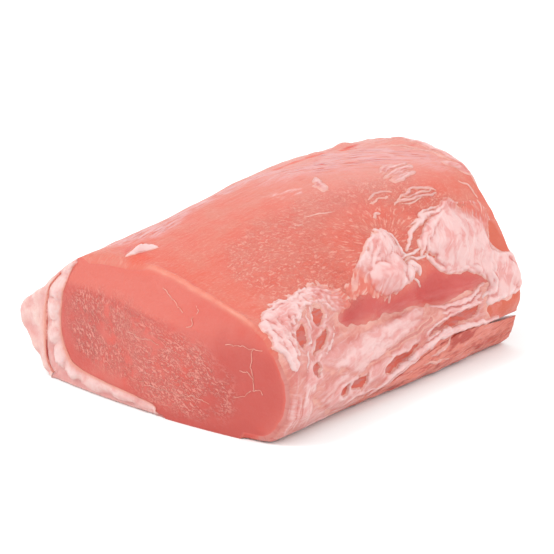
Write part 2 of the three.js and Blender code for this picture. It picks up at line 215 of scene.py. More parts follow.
MIDDLE_ROPES = [
    ([(12, 43.6), (16.5, 43.8), (18.8, 42), (18.6, 39.6)], 1.5, 1.5),
    ([(9, 46), (13, 47.5), (19, 47.6), (25, 48)], 0.6, 0.6),
    ([(12, 45.5), (17, 46.2), (22, 45), (27, 46)], 0.5, 0.5),
    ([(0, 38.5), (0.2, 36), (0, 34)], 0.5, 0.9),
    ([(15, 39), (17, 36.8), (18.4, 35.4)], 0.45, 0.7),
    ([(8, 60.6), (3, 56.5), (-3, 52.6), (-9, 50), (-14, 46)], 0.5, 0.5),
    ([(9.6, 61), (10.6, 56), (9, 51), (5, 47)], 0.5, 0.7),
    ([(13, 59), (15, 54.5), (14, 50), (16, 47.5)], 0.6, 0.7),
]
MIDDLE_LUMPS = [
    (16.6, 42.4, 2.4, 2, 1.0), (0.2, 42.6, 7.4, 5.9, 2.6), (7, 46, 5, 4, 1.6), (12.5, 41.5, 3.6, 3.2, 1.7),
    (5, 39.2, 4, 2.6, 1.4),
]
FAR_MASS = [
    (24, 50), (27, 53), (31, 56), (36.5, 58.6), (41, 60), (46, 63.2), (49, 64), (51, 61), (54, 59),
    (58, 59.6), (62, 60), (64, 57), (63, 52), (59, 48), (57, 43), (59, 40), (63, 38), (67, 38), (68, 32),
    (67, 27), (63, 24.5), (57, 24), (50, 22.5), (46, 23), (50, 29), (49, 33), (45.5, 35.7), (41, 36),
    (36.5, 36.6), (32, 38), (30.5, 41), (29, 44.6), (25, 46.6),
]
FAR_ROPES = [
    ([(48, 62.3), (42, 60.2), (33, 58.7), (26, 55.8), (21, 52.7), (17, 49)], 1.1, 0.7),
    ([(47, 60), (41, 57.6), (34, 55), (28, 51.5), (24, 47.4), (22.5, 45)], 1.1, 0.6),
    ([(42, 62), (35, 60.6), (29, 58.2), (25, 57.6)], 0.5, 0.6),
    ([(38, 56.5), (32, 53.5), (27, 48.5), (25.5, 44.5)], 0.7, 0.6),
    ([(25, 46), (27.5, 42), (30.5, 38.6), (36, 37.6), (42, 36.8), (47, 34.6), (49.5, 31.5)], 1.5, 0.8),
    ([(60, 42), (65, 37.5), (67, 31), (64, 25.5), (57, 24.6), (50, 23.4), (46, 21.6)], 1.6, 0.7),
    ([(52, 33), (52.5, 29.5), (50, 26.5), (45, 24.4)], 1.0, 0.9),
    ([(50, 62), (55, 60.5), (60, 60.5), (64, 57.5)], 0.8, 0.7),
    ([(54, 60), (57, 52), (56, 44), (55, 36), (54, 29)], 0.9, 0.5),
]
FAR_LUMPS = [
    (39, 43, 7, 6, 1.0), (42, 52, 8, 5, 0.5), (47, 42, 6, 5, 0.5), (62, 31, 5, 4.5, 0.9),
    (33, 41.5, 5, 3.6, 0.8),
]
FAR_FLOW = [
    [(46, 60), (40, 56), (35, 51.5), (31, 46.6), (29, 41)],
    [(47, 61.2), (43, 56.6), (38.5, 52), (35, 46.6), (33, 39.5)],
    [(50, 59.5), (48, 54), (46, 48.2), (44, 42.3), (41, 37)],
    [(52, 59), (54, 53), (53, 46.7), (52, 40.9), (50, 34)],
    [(60, 59), (60, 53), (57, 47), (57, 38.4), (55, 29)],
    [(64, 58), (63, 52), (59, 46.7), (61, 38), (63, 29)],
]
TOP_ROPES = [
    ([(29, 68.2), (32, 69.8), (36, 70.8), (40, 71.4), (45, 70.1), (47.5, 68)], 0.6, 0.5),
    ([(26, 67.6), (32, 67.8), (36, 67.2), (41, 67.4), (47, 66.4)], 0.6, 0.5),
    ([(32, 69.2), (37, 68.6), (42, 69.2), (46, 68.6)], 0.45, 0.4),
    ([(29.5, 66.2), (35, 65.6), (39, 66.6)], 0.4, 0.3),
    ([(20, 74.2), (25, 75), (28, 74.4), (31, 73.3)], 0.5, 0.45),
    ([(19, 72), (24, 72.3), (28.5, 71.6)], 0.4, 0.35),
    ([(-3, 79.6), (1, 77.8), (5, 75)], 0.45, 0.25),
    ([(-12, 80), (-10, 78.6), (-7.5, 77.6)], 0.4, 0.2),
    ([(58, 96), (61, 92), (64, 86), (65, 79)], 0.5, 0.35),
    ([(56, 100), (60, 97), (63, 92)], 0.4, 0.3),
    ([(60, 70), (63, 66), (64, 60)], 0.5, 0.3),
    ([(14.6, 65.5), (16.6, 66.6), (18.6, 66)], 0.8, 0.45),
    ([(60, 110), (64, 104), (66, 96), (66.6, 88), (66.6, 81), (67, 74), (67.4, 66)], 1.6, 0.7),
    ([(61, 80), (64, 76.5), (66, 71)], 1.5, 0.5),
    ([(19, 97.2), (17.4, 94.6), (16, 92.2)], 1.5, 0.5),
    ([(17, 93.8), (15.8, 91), (14, 88)], 1.8, 0.5),
    ([(15.4, 94), (14.2, 92)], 1.0, 0.3),
]
TOP_FLOW = [
    [(37, 85), (42, 86.3), (49, 85)],
    [(35, 80), (42, 81.4), (50, 81.6)],
    [(36, 76), (41, 77), (47, 78.6)],
]
NUB_ROPES = [
    ([(-57.8, 114), (-55, 113), (-52.2, 112), (-49.8, 110.4), (-47.2, 108.6)], 1.3, 1.2),
    ([(-51.4, 112.4), (-49.4, 111), (-47.6, 109.6)], 1.5, 1.3),
]
# The recess under the overhanging torn fat, which the lean's finish paints darker as shade.
RECESS = [
    (-19, 40), (-10, 40), (0, 36.5), (17, 38), (26, 41), (31, 38), (40, 37), (48, 34), (50, 30), (39, 27),
    (28, 25.5), (19, 28.5), (8, 29), (-3, 30), (-14, 31), (-29.5, 31.5), (-26, 37),
]
VEIL = [
    (-66, 33), (-63, 40), (-54, 46), (-44, 47), (-34, 46), (-27, 41), (-28, 35), (-20, 31), (2.5, 30.5),
    (23, 28), (40, 28.5), (50, 30), (50, 24), (47, 19), (48, 15), (30, 15), (22, 15.4), (14, 14),
    (0, 10.5), (-12, 7), (-24, 4), (-40, 0), (-56, -4), (-72, -4), (-72, 20),
]
VEIL_FLOW = [
    [(-63, 3), (-46, 7), (-32, 9.5), (-18, 10.5), (-6, 12), (6, 14.5)],
    [(-60, 9), (-46, 12), (-32, 15), (-18, 17), (-2, 19.5), (13, 22.5)],
    [(-63, 17), (-50, 20), (-34, 22.4), (-19, 23.8), (-3, 24.9), (13, 25.4)],
    [(-63, 24), (-49, 27), (-34, 28.3), (-19, 29.4), (-4, 29.6), (16, 28.5)],
]
VEIL_FALLS = [
    [(-61, 30), (-64, 21.7), (-66, 16), (-65, 2)],
    [(-55, 30), (-60, 22), (-61, 15.8), (-60, 2)],
    [(-48, 29), (-53, 22), (-55, 15), (-54, 3)],
]
VEIL_ROPES = [
    ([(19, 28), (23, 26.4), (27, 25.6), (32, 25.6), (37, 25.8), (43, 27.3), (48, 29.8)], 1.1, 1.0),
    ([(22, 24.2), (27, 23.8), (32, 23.6), (39, 24.2), (46, 27)], 0.9, 0.8),
    ([(12, 18.6), (20, 21.4), (27, 22.4), (33, 22.8), (39, 23.4), (45, 24)], 0.8, 0.7),
    ([(-42, 21), (-28, 23.5), (-14, 25), (0, 26.4), (14, 27.4)], 3.0, 0.7),
    ([(-30, 18), (-16, 21), (-2, 23), (10, 25)], 1.6, 0.5),
    ([(-59, 19.4), (-57.2, 15), (-58, 10.5)], 1.3, 0.5),
    ([(-35, 9), (-32, 12), (-30.5, 15)], 0.6, 0.7),
    ([(-53, 22), (-51, 25.5), (-46, 29)], 0.7, 0.4),
]
VEIL_CREASES = [
    ([(-26, 15), (-18, 17.4), (-8, 18.6), (4, 20.4), (16, 23.4)], 0.9, 0.6),
    ([(-48, 24), (-38, 20), (-30, 17), (-24, 13)], 1.2, 0.4),
    ([(-56, 18), (-50, 12), (-44, 8), (-38, 3)], 1.2, 0.35),
]
RIDGE_ROPES = [
    ([(-19, 5), (-11, 8.4), (-6, 10.1), (0, 11.3), (5, 12.9), (10, 14), (16, 15.2), (22, 16.2), (29, 16.4),
      (36, 16.2), (48, 15.6), (56, 15.4)], 1.6, 1.2),
    ([(-16, 5), (-6, 8.2), (4, 10.8), (12, 12.9), (20, 14.6)], 0.8, 0.7),
    ([(12, 16.6), (20, 18), (28, 17.8), (38, 17.2)], 0.7, 0.6),
    ([(-36, 7), (-30, 7.7), (-24, 8), (-14, 6.6)], 1.0, 0.6),
    ([(-62, 2), (-50, 4), (-38, 4.6), (-26, 5)], 0.7, 0.5),
    ([(27, 15), (25, 12.4), (21, 10.8), (15, 9.6)], 0.5, 0.5),
    ([(4, 6.6), (12, 7.4), (20, 7), (29, 6)], 0.35, 0.35),
]
HOLES = [
    [(-11.5, 11.4), (-11.8, 13.6), (-5, 15.7), (1, 15.6), (7, 17.2), (9, 15.8), (4, 13.5), (-1.6, 11.6),
     (-8, 10.6)],
    [(14, 17.8), (16.5, 19.2), (28.5, 21), (35, 22.4), (42, 22.3), (41.5, 20), (37, 18.2), (27, 18.4),
     (19, 17.6)],
    [(-37.5, 13), (-34, 14.2), (-31.8, 14), (-32.4, 11.5), (-36.5, 10.8)],
    [(-30.6, 14.2), (-27, 14.4), (-24, 13.8), (-21.5, 15), (-23.5, 10.6), (-29.5, 10.2)],
    [(-52.5, 26), (-49.5, 26.7), (-48.6, 23.4), (-52, 22)],
    [(-48, 40.8), (-47, 38.5), (-50, 34.8), (-53.3, 32.6), (-54, 36), (-51, 39.8)],
    [(-37, 44), (-34.6, 42), (-36.5, 38.6), (-41, 37.4), (-41.8, 40), (-39.6, 43.2)],
    [(-37, 35.6), (-38, 33), (-43, 30.6), (-49, 29.2), (-48, 31.4), (-43, 34)],
    [(28, 14), (33, 12.6), (40, 13.2), (38, 14.8), (32, 15.2)],
]
BARE_SPOTS = [
    [(61.5, 50), (64, 51), (66, 43.7), (67, 40.6), (63, 38.8), (60, 41.5), (59, 45)],
    [(51.5, 20.5), (58.5, 23), (63.5, 23.4), (67, 21), (65, 16.2), (56.5, 15.5), (52.5, 17.8)],
    [(44.5, 21), (47, 21.5), (49.6, 18.5), (48, 16.5), (45, 18)],
]
# Silver skin on the top, painted paler as sheen: its bands, and below them the lines of its brightest
# streaks.
SHEEN = [
    (-52, 131), (-46, 131), (-30, 129), (-8, 127), (16, 124), (16, 119), (-8, 119.5), (-22, 117.5),
    (-36, 113.5), (-45, 119), (-52, 124),
]
FAR_SHEEN = [
    (22, 112), (40, 108), (54, 100), (62, 84), (60, 76), (52, 84), (40, 90), (26, 97), (12, 106), (8, 114),
]
SILVER_SHEEN_LINES = [
    [(0, 121), (10, 121.5), (14, 120), (18, 116.5), (20, 112), (23, 108.6), (28, 105)],
    [(30, 104), (37, 101), (42, 94), (50, 90)],
    [(38, 112), (46, 103), (53, 97), (60, 86)],
]
# Pale streaks of fat on the top, painted whiter as highlight.
PALE_STREAKS = [[(0, 101), (5.6, 98.6), (10, 96)], [(2, 96.6), (8, 93.6)]]
BLUSHES = [[(22, 119), (28, 118), (35, 116), (41, 115)], [(46, 111), (49, 108)]]
SMALL_RELIEF = [(51, 116.5, 6, 4.5, 1.8), (40, 119, 6, 4, 0.8), (62, 101, 5, 6, 1.0)]
FAN = [
    (-26, 84), (8, 84), (29, 77), (44, 66), (40, 56), (22, 50), (8, 56), (-8, 50), (-20, 42), (-30, 50),
    (-44, 60), (-40, 78),
]
FAN_FOCUS = (9.0, 52.0)

# ---------------------------------------------------------------- what lies on the near cut, (y, z)
VEIN_LIFT = 0.03  # how far the middle of a vein stands out of the cut
VEINS = [
    [(-2.3, 43.6), (-7.5, 41.4), (-10.6, 39.8), (-14.2, 38)],
    [(-19.1, 41.5), (-20.4, 39.6), (-18.9, 36.8), (-19.6, 35), (-17.7, 34.3)],
    [(-45.8, 32.2), (-45.2, 27), (-45.6, 21.7), (-46, 18.3)],
    [(-40.6, 23.8), (-43.9, 23.5), (-45.5, 21.7)],
    [(-45.6, 17.9), (-48.8, 18.9), (-49.6, 17.3)],
    [(-38, 14.1), (-40.8, 14.4), (-44.8, 17.7)],
    [(2.5, 10.4), (-4.5, 9.9), (-11.3, 9.7)],
    [(-14, 9.8), (-20.1, 10.6), (-28.6, 10)],
    [(9, 26.8), (3, 26), (-1.4, 26.3), (-6.1, 25.5)],
    [(-34.2, 31.6), (-38, 32.6), (-42.5, 32.4), (-49.4, 33)],
]
MARBLED = [
    (37, 35.5), (16, 36.5), (-6, 32), (-24, 29), (-39, 14), (-28, 4), (-4, 5), (13, 10), (31, 12),
    (38.6, 24),
]
DARK_FOOT = [(24, 4), (10, 6), (-10, 4), (-30, 5), (-44, 10), (-50, -2), (24, -3)]
DARK_LEFT = [(44, 35), (33, 36), (24, 31), (22, 20), (26, 10), (38, 6), (46, 12)]
DARK_CUT = [(-31, 31), (-44, 34), (-58, 28), (-59, 12), (-42, 0), (-22, 4), (-26, 18)]
# Lumps of the firm fat at the cut, as (y, z, radius along y, radius along z, rise).
FAT_LUMPS = [
    (43.5, 42.5, 4.5, 4.2, 1.2), (45.8, 34.6, 5, 4.5, 1.6), (46.8, 26.2, 5, 4.4, 1.5),
    (46.2, 17.6, 5, 4.8, 1.5), (42.2, 10.4, 5.5, 4.6, 2.2), (36.4, 7.4, 5, 4.6, 2.0),
    (29, 5.4, 4, 3.6, 1.2), (23.5, 4.6, 6.5, 3.4, 1.5), (11, 4.4, 8, 3, 1.6), (-2, 2.6, 6.5, 2.4, 1.1),
]


# ---------------------------------------------------------------- shaping in millimetres
OUTSIDE = -9.0  # millimetres in from an edge that is nowhere near


def smoothstep(low, high, value):
    t = np.clip((value - low) / (high - low), 0, 1)
    return t * t * (3 - 2 * t)


def lerp(a, b, t):
    return a + (b - a) * t


def through(a, b, c, d, t):
    """Uniform Catmull-Rom between b and c."""
    return 0.5 * (2 * b + (c - a) * t + (2 * a - 5 * b + 4 * c - d) * t * t + (3 * b - a - 3 * c + d) * t**3)


def near_cut(y, z):
    """x of the near cut: swollen at the foot, leaning back above its crease."""
    belly = CUT_BELLY * (1 - (y / CUT_HALF_WIDE) ** 2) * (1 - z / CUT_FLAT_HEIGHT)
    fade = lerp(LEAST_LEAN, 1, smoothstep(*LEAN_FADES, y))
    lean = CREASE_LEAN * np.maximum(z - CREASE_HEIGHT, 0) * fade
    return -HALF_LENGTH - belly + lean + FLAP_TURN * np.maximum(y - FLAP_START, 0)


def far_cut(y, z):
    """x of the far cut."""
    return HALF_LENGTH + FAR_BELLY * (1 - (y / FAR_REACH) ** 2) * (1 - ((z - FAR_MIDDLE) / FAR_REACH) ** 2)


def above_floor(yz):
    """Sections whose places under the floor are lifted on to it."""
    yz[..., 1] = np.maximum(yz[..., 1], 0)
    return yz


def placed(yz, share):
    """Corners (rows, columns, 3) of sections at shares of the length."""
    y, z = yz[..., 0], yz[..., 1]
    return np.stack([lerp(near_cut(y, z), far_cut(y, z), share[:, None]), y, z], -1)


def section(table, share, v):
    """(y, z) on a table's section curves: one row for each share, at places v round it."""
    marks = np.array([table.get(name, OUTLINE[name]) for name in NAMES], float)
    last = marks.shape[1] - 1
    k = np.clip((share * last).astype(int), 0, last - 1)
    at = lambda i: marks[:, np.clip(i, 0, last)].transpose(1, 0, 2)
    rows = through(at(k - 1), at(k), at(k + 1), at(k + 2), (share * last - k)[:, None, None])
    v = np.broadcast_to(v, (len(share), np.shape(v)[-1]))
    k = np.floor(v).astype(int)
    row = np.arange(len(share))[:, None]
    at = lambda i: rows[row, i % TURN]
    return above_floor(through(at(k - 1), at(k), at(k + 1), at(k + 2), (v - k)[..., None]))


def towards(a, b, mm):
    """Points some millimetres on from a towards b."""
    step = b - a
    return a + step * (mm / np.maximum(np.linalg.norm(step, axis=-1, keepdims=True), 1e-9))


def outward(share, v, reach=0.05):
    """Unit (y, z) out of the skin."""
    step = section(OUTLINE, share, v + reach) - section(OUTLINE, share, v - reach)
    out = np.stack([-step[..., 1], step[..., 0]], -1)
    return out / np.maximum(np.linalg.norm(out, axis=-1, keepdims=True), 1e-9)


def length_up(share, v):
    """Length up the skin from the rib toe, less than nothing under the loin."""
    before = 60  # steps of the table that lie before the toe
    table = np.arange(-before, 261) * 0.05 + TOE
    run = section(OUTLINE, share, table)
    steps = np.linalg.norm(np.diff(run, axis=1), axis=-1)
    total = np.concatenate([np.zeros((len(share), 1)), np.cumsum(steps, 1)], 1)
    total -= total[:, before:before + 1]
    v = np.broadcast_to(v, (len(share), np.shape(v)[-1]))
    return np.stack([np.interp(v[i], table, total[i]) for i in range(len(share))])


def even_places(start, stop, spacing, share=0.5):
    """Places round the section whose distance apart is spacing(up) millimetres."""
    v = np.linspace(start, stop, 1500)
    one = np.array([share])
    run = section(OUTLINE, one, v)[0]
    step = np.linalg.norm(np.diff(run, axis=0), axis=-1)
    up = length_up(one, v)[0]
    count = np.concatenate([[0], np.cumsum(step / spacing((up[1:] + up[:-1]) / 2))])
    return np.interp(np.linspace(0, count[-1], int(round(count[-1])) + 1), count, v)


EDGE_STEPS = np.array([0.1, 0.25, 0.45, 0.75, 1.1, 1.6])  # in from a cut, over its rounded edge


def even_shares(spacing, start=0.0, stop=1.0):
    """Shares of the length, close together at both cuts, where the edges are rounded."""
    long = 2 * HALF_LENGTH
    middle = np.linspace(start, stop, int(round((stop - start) * long / spacing)) + 1)
    edge = EDGE_STEPS / long
    return np.unique(np.concatenate([middle, start + edge, stop - edge]))


GRADIENTS = np.array([
    (1, 1, 0), (-1, 1, 0), (1, -1, 0), (-1, -1, 0), (1, 0, 1), (-1, 0, 1), (1, 0, -1), (-1, 0, -1), (0, 1, 1),
    (0, -1, 1), (0, 1, -1), (0, -1, -1),
], float)
NOISE_STRENGTH = 1.25  # brings the noise to about -1 to 1


def noise(points, cell, seed):
    """Smooth noise of about -1 to 1 at points in mm, its bumps about a cell across."""
    q = np.asarray(points, float) / cell
    base = np.floor(q).astype(np.int64)
    f = q - base
    w = f**3 * (f * (f * 6 - 15) + 10)
    total = np.zeros(q.shape[:-1])
    for corner in np.ndindex(2, 2, 2):
        i = base + corner
        # large odd numbers scatter the gradients over the corners
        h = (i[..., 0] * 73856093) ^ (i[..., 1] * 19349663) ^ (i[..., 2] * 83492791) ^ (seed * 2654435)
        h = ((h ^ (h >> 13)) * 1274126177) & 0x7FFFFFFF
        pull = (GRADIENTS[(h >> 7) % len(GRADIENTS)] * (f - corner)).sum(-1)
        share = np.where(corner, w, 1 - w).prod(-1)
        total += pull * share
    return total * NOISE_STRENGTH


def rough(points, cell, seed, octaves=3):
    """Noise with finer noise on it."""
    return sum(noise(points, cell / 2**k, seed + k) / 2**k for k in range(octaves))


def on_skin(x, up):
    """Places on the skin as points for the noise."""
    return np.stack([x, up, np.zeros_like(x)], -1)


def rounded(outline, pieces=4):
    """A closed outline with round corners."""
    a = np.array(outline, float)
    t = (np.arange(pieces) / pieces)[None, :, None]
    at = lambda k: np.roll(a, -k, 0)[:, None]
    return through(at(-1), at(0), at(1), at(2), t).reshape(-1, 2)


def off_segment(a, b, x, up):
    """Share of the way from a to b at which the nearest place lies, and millimetres from it."""
    (ax, ay), (bx, by) = a, b
    ex, ey = bx - ax, by - ay
    t = np.clip(((x - ax) * ex + (up - ay) * ey) / (ex * ex + ey * ey + 1e-12), 0, 1)
    return t, np.hypot(x - ax - t * ex, up - ay - t * ey)


def inside(outline, x, up):
    """Millimetres in from the edge of a closed outline, less than nothing outside."""
    best = np.full(x.shape, 1e9)
    within = np.zeros(x.shape, bool)
    marks = rounded(outline)
    for a, b in zip(marks, np.roll(marks, -1, 0)):
        best = np.minimum(best, off_segment(a, b, x, up)[1])
        if a[1] != b[1]:
            crossing = (b[0] - a[0]) * (up - a[1]) / (b[1] - a[1]) + a[0]
            within ^= ((a[1] > up) != (b[1] > up)) & (x < crossing)
    return np.where(within, best, -best)


def deepest(outlines, x, up, amount, cell, seed):
    """Millimetres in from the edge of the nearest of some outlines, each of them ragged in its own way."""
    return np.max([inside(one, *shaken(x, up, amount, cell, seed + k)) for k, one in enumerate(outlines)], 0)


def off_line(line, x, up):
    """Millimetres from an open line."""
    return np.min([off_segment(a, b, x, up)[1] for a, b in zip(line, line[1:])], 0)


def shaken(x, up, amount, cell, seed):
    """The same places moved about, so that an outline read there is ragged."""
    p = on_skin(x, up)
    return x + amount * rough(p, cell, seed, 2), up + amount * rough(p, cell, seed + 40, 2)


def grain_line(way):
    """The run of a sheet's fibres: from (x, up) to millimetres along them and across them. way is either
    their angle in degrees, or a place that they spread out from."""
    def run(x, up):
        wx, wup = shaken(x, up, 1.5, 9, 301)
        if isinstance(way, tuple):
            return np.hypot(wx - way[0], wup - way[1]), np.arctan2(wup - way[1], wx - way[0]) * 16
        c, q = math.cos(math.radians(way)), math.sin(math.radians(way))
        return c * wx + q * wup, c * wup - q * wx
    return run


def curved(line, count):
    """An open line made smooth, as so many evenly spaced points."""
    a = np.array(line, float)
    a = np.concatenate([[2 * a[0] - a[1]], a, [2 * a[-1] - a[-2]]])
    t = np.arange(8)[:, None] / 8
    fine = [through(a[k], a[k + 1], a[k + 2], a[k + 3], t) for k in range(len(a) - 3)]
    fine = np.concatenate(fine + [a[-2:-1]])
    run = np.concatenate([[0], np.cumsum(np.linalg.norm(np.diff(fine, axis=0), axis=1))])
    return np.stack([np.interp(np.linspace(0, run[-1], count), run, fine[:, k]) for k in (0, 1)], -1)


def ropes(table, count=14):
    """The ropes of a table, with their lines made smooth."""
    return [(curved(line, count), wide, high) for line, wide, high in table]


def woven(flow, number, wide, high, rng, run=(0.3, 0.9), stray=0.5, points=9):
    """Ropes strewn between flow lines, each following the flow for part of its way."""
    guides = [curved(line, points) for line in flow]
    made = []
    for _ in range(number):
        place = rng.uniform(0, len(guides) - 1.001)
        line = lerp(guides[int(place)], guides[int(place) + 1], place % 1)
        part = rng.uniform(*run)
        t = rng.uniform(0, 1 - part) + part * np.linspace(0, 1, points)
        line = np.stack([np.interp(t, np.linspace(0, 1, points), line[:, k]) for k in (0, 1)], -1)
        bend = rng.normal(0, stray, 2) * np.sin(math.pi * np.linspace(0, 1, points))[:, None]
        line = line + rng.normal(0, stray, 2) * 0.5 + bend
        made.append((line, wide * rng.uniform(0.5, 1.25), high * rng.uniform(0.4, 1.2)))
    return made


def beside(lines, count, x, up, amount, cell, seed):
    """Millimetres from the nearest of some lines, ragged, each drawn through so many points."""
    return np.min([off_line(curved(one, count), *shaken(x, up, amount, cell, seed)) for one in lines], 0)


def roped(x, up, table):
    """Rise of ropes lying on the skin, and millimetres in from their edges."""
    high, edge = np.zeros_like(x), np.full_like(x, OUTSIDE)
    for line, wide, tall in table:
        low, top = line.min(0) - wide - 1.5, line.max(0) + wide + 1.5
        box = (x > low[0]) & (x < top[0]) & (up > low[1]) & (up < top[1])
        if not box.any():
            continue
        px, pu = x[box], up[box]
        best, part = np.full(px.shape, 1e9), np.zeros(px.shape)
        for k, (a, b) in enumerate(zip(line, line[1:])):
            t, away = off_segment(a, b, px, pu)
            near = away < best
            best, part = np.where(near, away, best), np.where(near, (k + t) / (len(line) - 1), part)
        # a rope is full in its middle and thins to both ends
        full = np.sqrt(np.clip(np.sin(math.pi * part), 0, 1))
        half = wide * (0.35 + 0.65 * full)
        one = tall * (0.3 + 0.7 * full) * np.clip(1 - (best / half) ** 2, 0, 1) ** 1.1
        high[box] = (high[box] ** 4 + one**4) ** 0.25
        edge[box] = np.maximum(edge[box], half - best)
    return high, edge


def lumped(x, up, table):
    """Rise of round lumps, and millimetres in from their edges."""
    high, edge = np.zeros_like(x), np.full_like(x, OUTSIDE)
    for middle_x, middle_up, wide, tall, rise in table:
        d = np.hypot((x - middle_x) / wide, (up - middle_up) / tall)
        one = rise * np.clip(1 - d * d, 0, 1) ** 0.8
        high = (high**4 + one**4) ** 0.25
        edge = np.maximum(edge, (1 - d) * min(wide, tall))
    return high, edge


def strewn(outline, number, wide, high, rng):
    """Lumps strewn inside an outline."""
    low, top = np.min(outline, 0), np.max(outline, 0)
    spots = rng.uniform(low, top, (number * 6, 2))
    spots = spots[inside(outline, spots[:, 0], spots[:, 1]) > 0.5][:number]
    return [(x, up, wide * rng.uniform(0.6, 1.4), wide * rng.uniform(0.6, 1.3), high * rng.uniform(0.5, 1.2))
            for x, up in spots]


def smeared(a, times):
    """A grid of values with each one spread over its neighbours."""
    for _ in range(times):
        b = np.pad(a, 1, mode="edge")
        a = (2 * a + b[:-2, 1:-1] + b[2:, 1:-1] + b[1:-1, :-2] + b[1:-1, 2:]) / 6
    return a


def cut_grain(yz):
    """Small relief of the cut faces."""
    flat = np.concatenate([yz, np.zeros_like(yz[..., :1])], -1)
    return 0.25 * rough(flat, 12, 51) + 0.10 * rough(flat, 3, 54)


def relief(x, up):
    """Rise of the large relief, as on the solids, with a few small bumps."""
    total = np.zeros_like(x)
    for middle_x, middle_up, half_long, half_wide, high in RELIEF + SMALL_RELIEF:
        d = np.hypot((x - middle_x) / half_long, (up - middle_up) / half_wide)
        total += high * (1 - np.minimum(d, 1) ** 2) ** 2
    return np.where(up > 0, total, 0)


def grain(x, up):
    """Rise of the small relief of the bare muscle and its silver skin."""
    p = on_skin(x, up)
    top = smoothstep(50, 64, up)
    torn = smoothstep(0, 6, up) * (1 - smoothstep(52, 66, up))
    swell = 0.35 * rough(p, 17, 3)
    streaks = 0.22 * rough(p * (0.35, 1, 1), 3.2, 7) * smoothstep(86, 108, up) * smoothstep(-30, 20, x)
    pebble = 0.10 * noise(p, 1.7, 11) * smoothstep(-6, 3, inside(FAN, x, up))
    folds = 0.30 * rough(p * (0.55, 1, 1), 4.5, 15) * torn
    return np.where(up > 0, swell * (0.4 + 0.6 * top) + streaks + pebble + folds, 0)


def lip_share(up):
    """How much of the near cut's raised lip there is at a place up the skin."""
    return smoothstep(LIP_FROM, LIP_FROM + 8, up) * (1 - smoothstep(LIP_TO - 5, LIP_TO, up))


def corner_drop(yz, x, up):
    """How far the rounded edges of the cuts fall below the skin."""
    near, far = x - near_cut(yz[..., 0], yz[..., 1]), far_cut(yz[..., 0], yz[..., 1]) - x
    # only the lean's rows reach all the way to the fat, where its corners stay sharp
    end = up.max(1, keepdims=True) if up.shape[1] > 200 else FAT_STARTS_UP
    top, side = smoothstep(98, 110, up), 1 - smoothstep(22, 48, up)  # where the edges are rounder
    corner = EDGE_ROUND * (1 + 1.6 * top + 1.2 * side)
    corner = corner * (1 - smoothstep(end - 7, end - 0.5, up)) + 1e-6
    deep = np.clip(corner - np.minimum(near, far), 0, corner)
    drop = corner - np.sqrt(np.maximum(corner**2 - deep**2, 0))
    return drop * (1 - 0.5 * lip_share(up) * (near < far))


def dressed(yz, x, up):
    """Rise of the finished skin over its outline: relief, small relief, the lip and the rounded edges."""
    near = x - near_cut(yz[..., 0], yz[..., 1])
    uneven = 1 + 0.5 * noise(on_skin(x, up), 4, 19)
    lip = LIP_RISE * lip_share(up) * np.exp(-(((near - LIP_BACK) / LIP_WIDE) ** 2)) * uneven
    return relief(x, up) + grain(x, up) + lip - corner_drop(yz, x, up)


def strip_rise(share, v):
    """Rise of the rib strip's outside over the skin, nothing where there is no strip."""
    top_v, swell, _ = strip_top(share, False)
    foot_v = TOE - STRIP_FOOT
    v = np.broadcast_to(v, (len(share), np.shape(v)[-1]))
    t = np.clip((v - foot_v) / (top_v[:, None] - foot_v), 0, 1)
    at = placed(section(OUTLINE, share, v), share)
    fibre = 0.4 * rough(at * (0.25, 1, 1), 2.6, 121) + 0.25 * rough(at, 6, 123)
    there = smoothstep(STRIP_FROM - 1, STRIP_FROM + 2, at[..., 0])
    return (STRIP_PROUD * swell[:, None] + fibre) * np.sin(math.pi * t) * there


def strip_top(share, grown):
    """Place round each section where the strip of rib muscle stops, or where its bed does."""
    x = lerp(-HALF_LENGTH, HALF_LENGTH, share)
    notch = SEAM + NOTCH_WIDE * smoothstep(NOTCH_FROM, HALF_LENGTH, x)
    high = np.interp(x, *np.array(STRIP_EDGE, float).T) + (notch if grown else 0)
    v = np.linspace(TOE, TOE + 3, 400)
    z = section(OUTLINE, share, v)[..., 1]
    swell = np.maximum(smoothstep(STRIP_FROM, STRIP_FROM + STRIP_GROWS, x), STRIP_THIN)
    return np.array([np.interp(high[i], z[i], v) for i in range(len(share))]), swell, notch


def hollow(share, foot_v, top_v, t, deep):
    """(y, z) at shares t of the way up the rib side from its foot, drawn in by deep half way."""
    foot, top = section(OUTLINE, share, np.array([foot_v])), section(OUTLINE, share, top_v[:, None])
    return lerp(foot, top, t) + deep[:, None, None] * 4 * t * (1 - t) * (1, 0)


# ---------------------------------------------------------------- meshes
def sheet_faces(rows, columns, closed=False):
    """Faces of a grid of corners, joined up round its columns where it is closed."""
    i, j = np.meshgrid(np.arange(rows - 1), np.arange(columns if closed else columns - 1), indexing="ij")
    a = i * columns + j
    b = i * columns + (j + 1) % columns
    return np.stack([a, b, b + columns, a + columns], -1).reshape(-1, 4)


def in_scene(name, data):
    """An object for a mesh, a lamp or a camera, put in the scene."""
    thing = bpy.data.objects.new(name, data)
    bpy.context.scene.collection.objects.link(thing)
    return thing


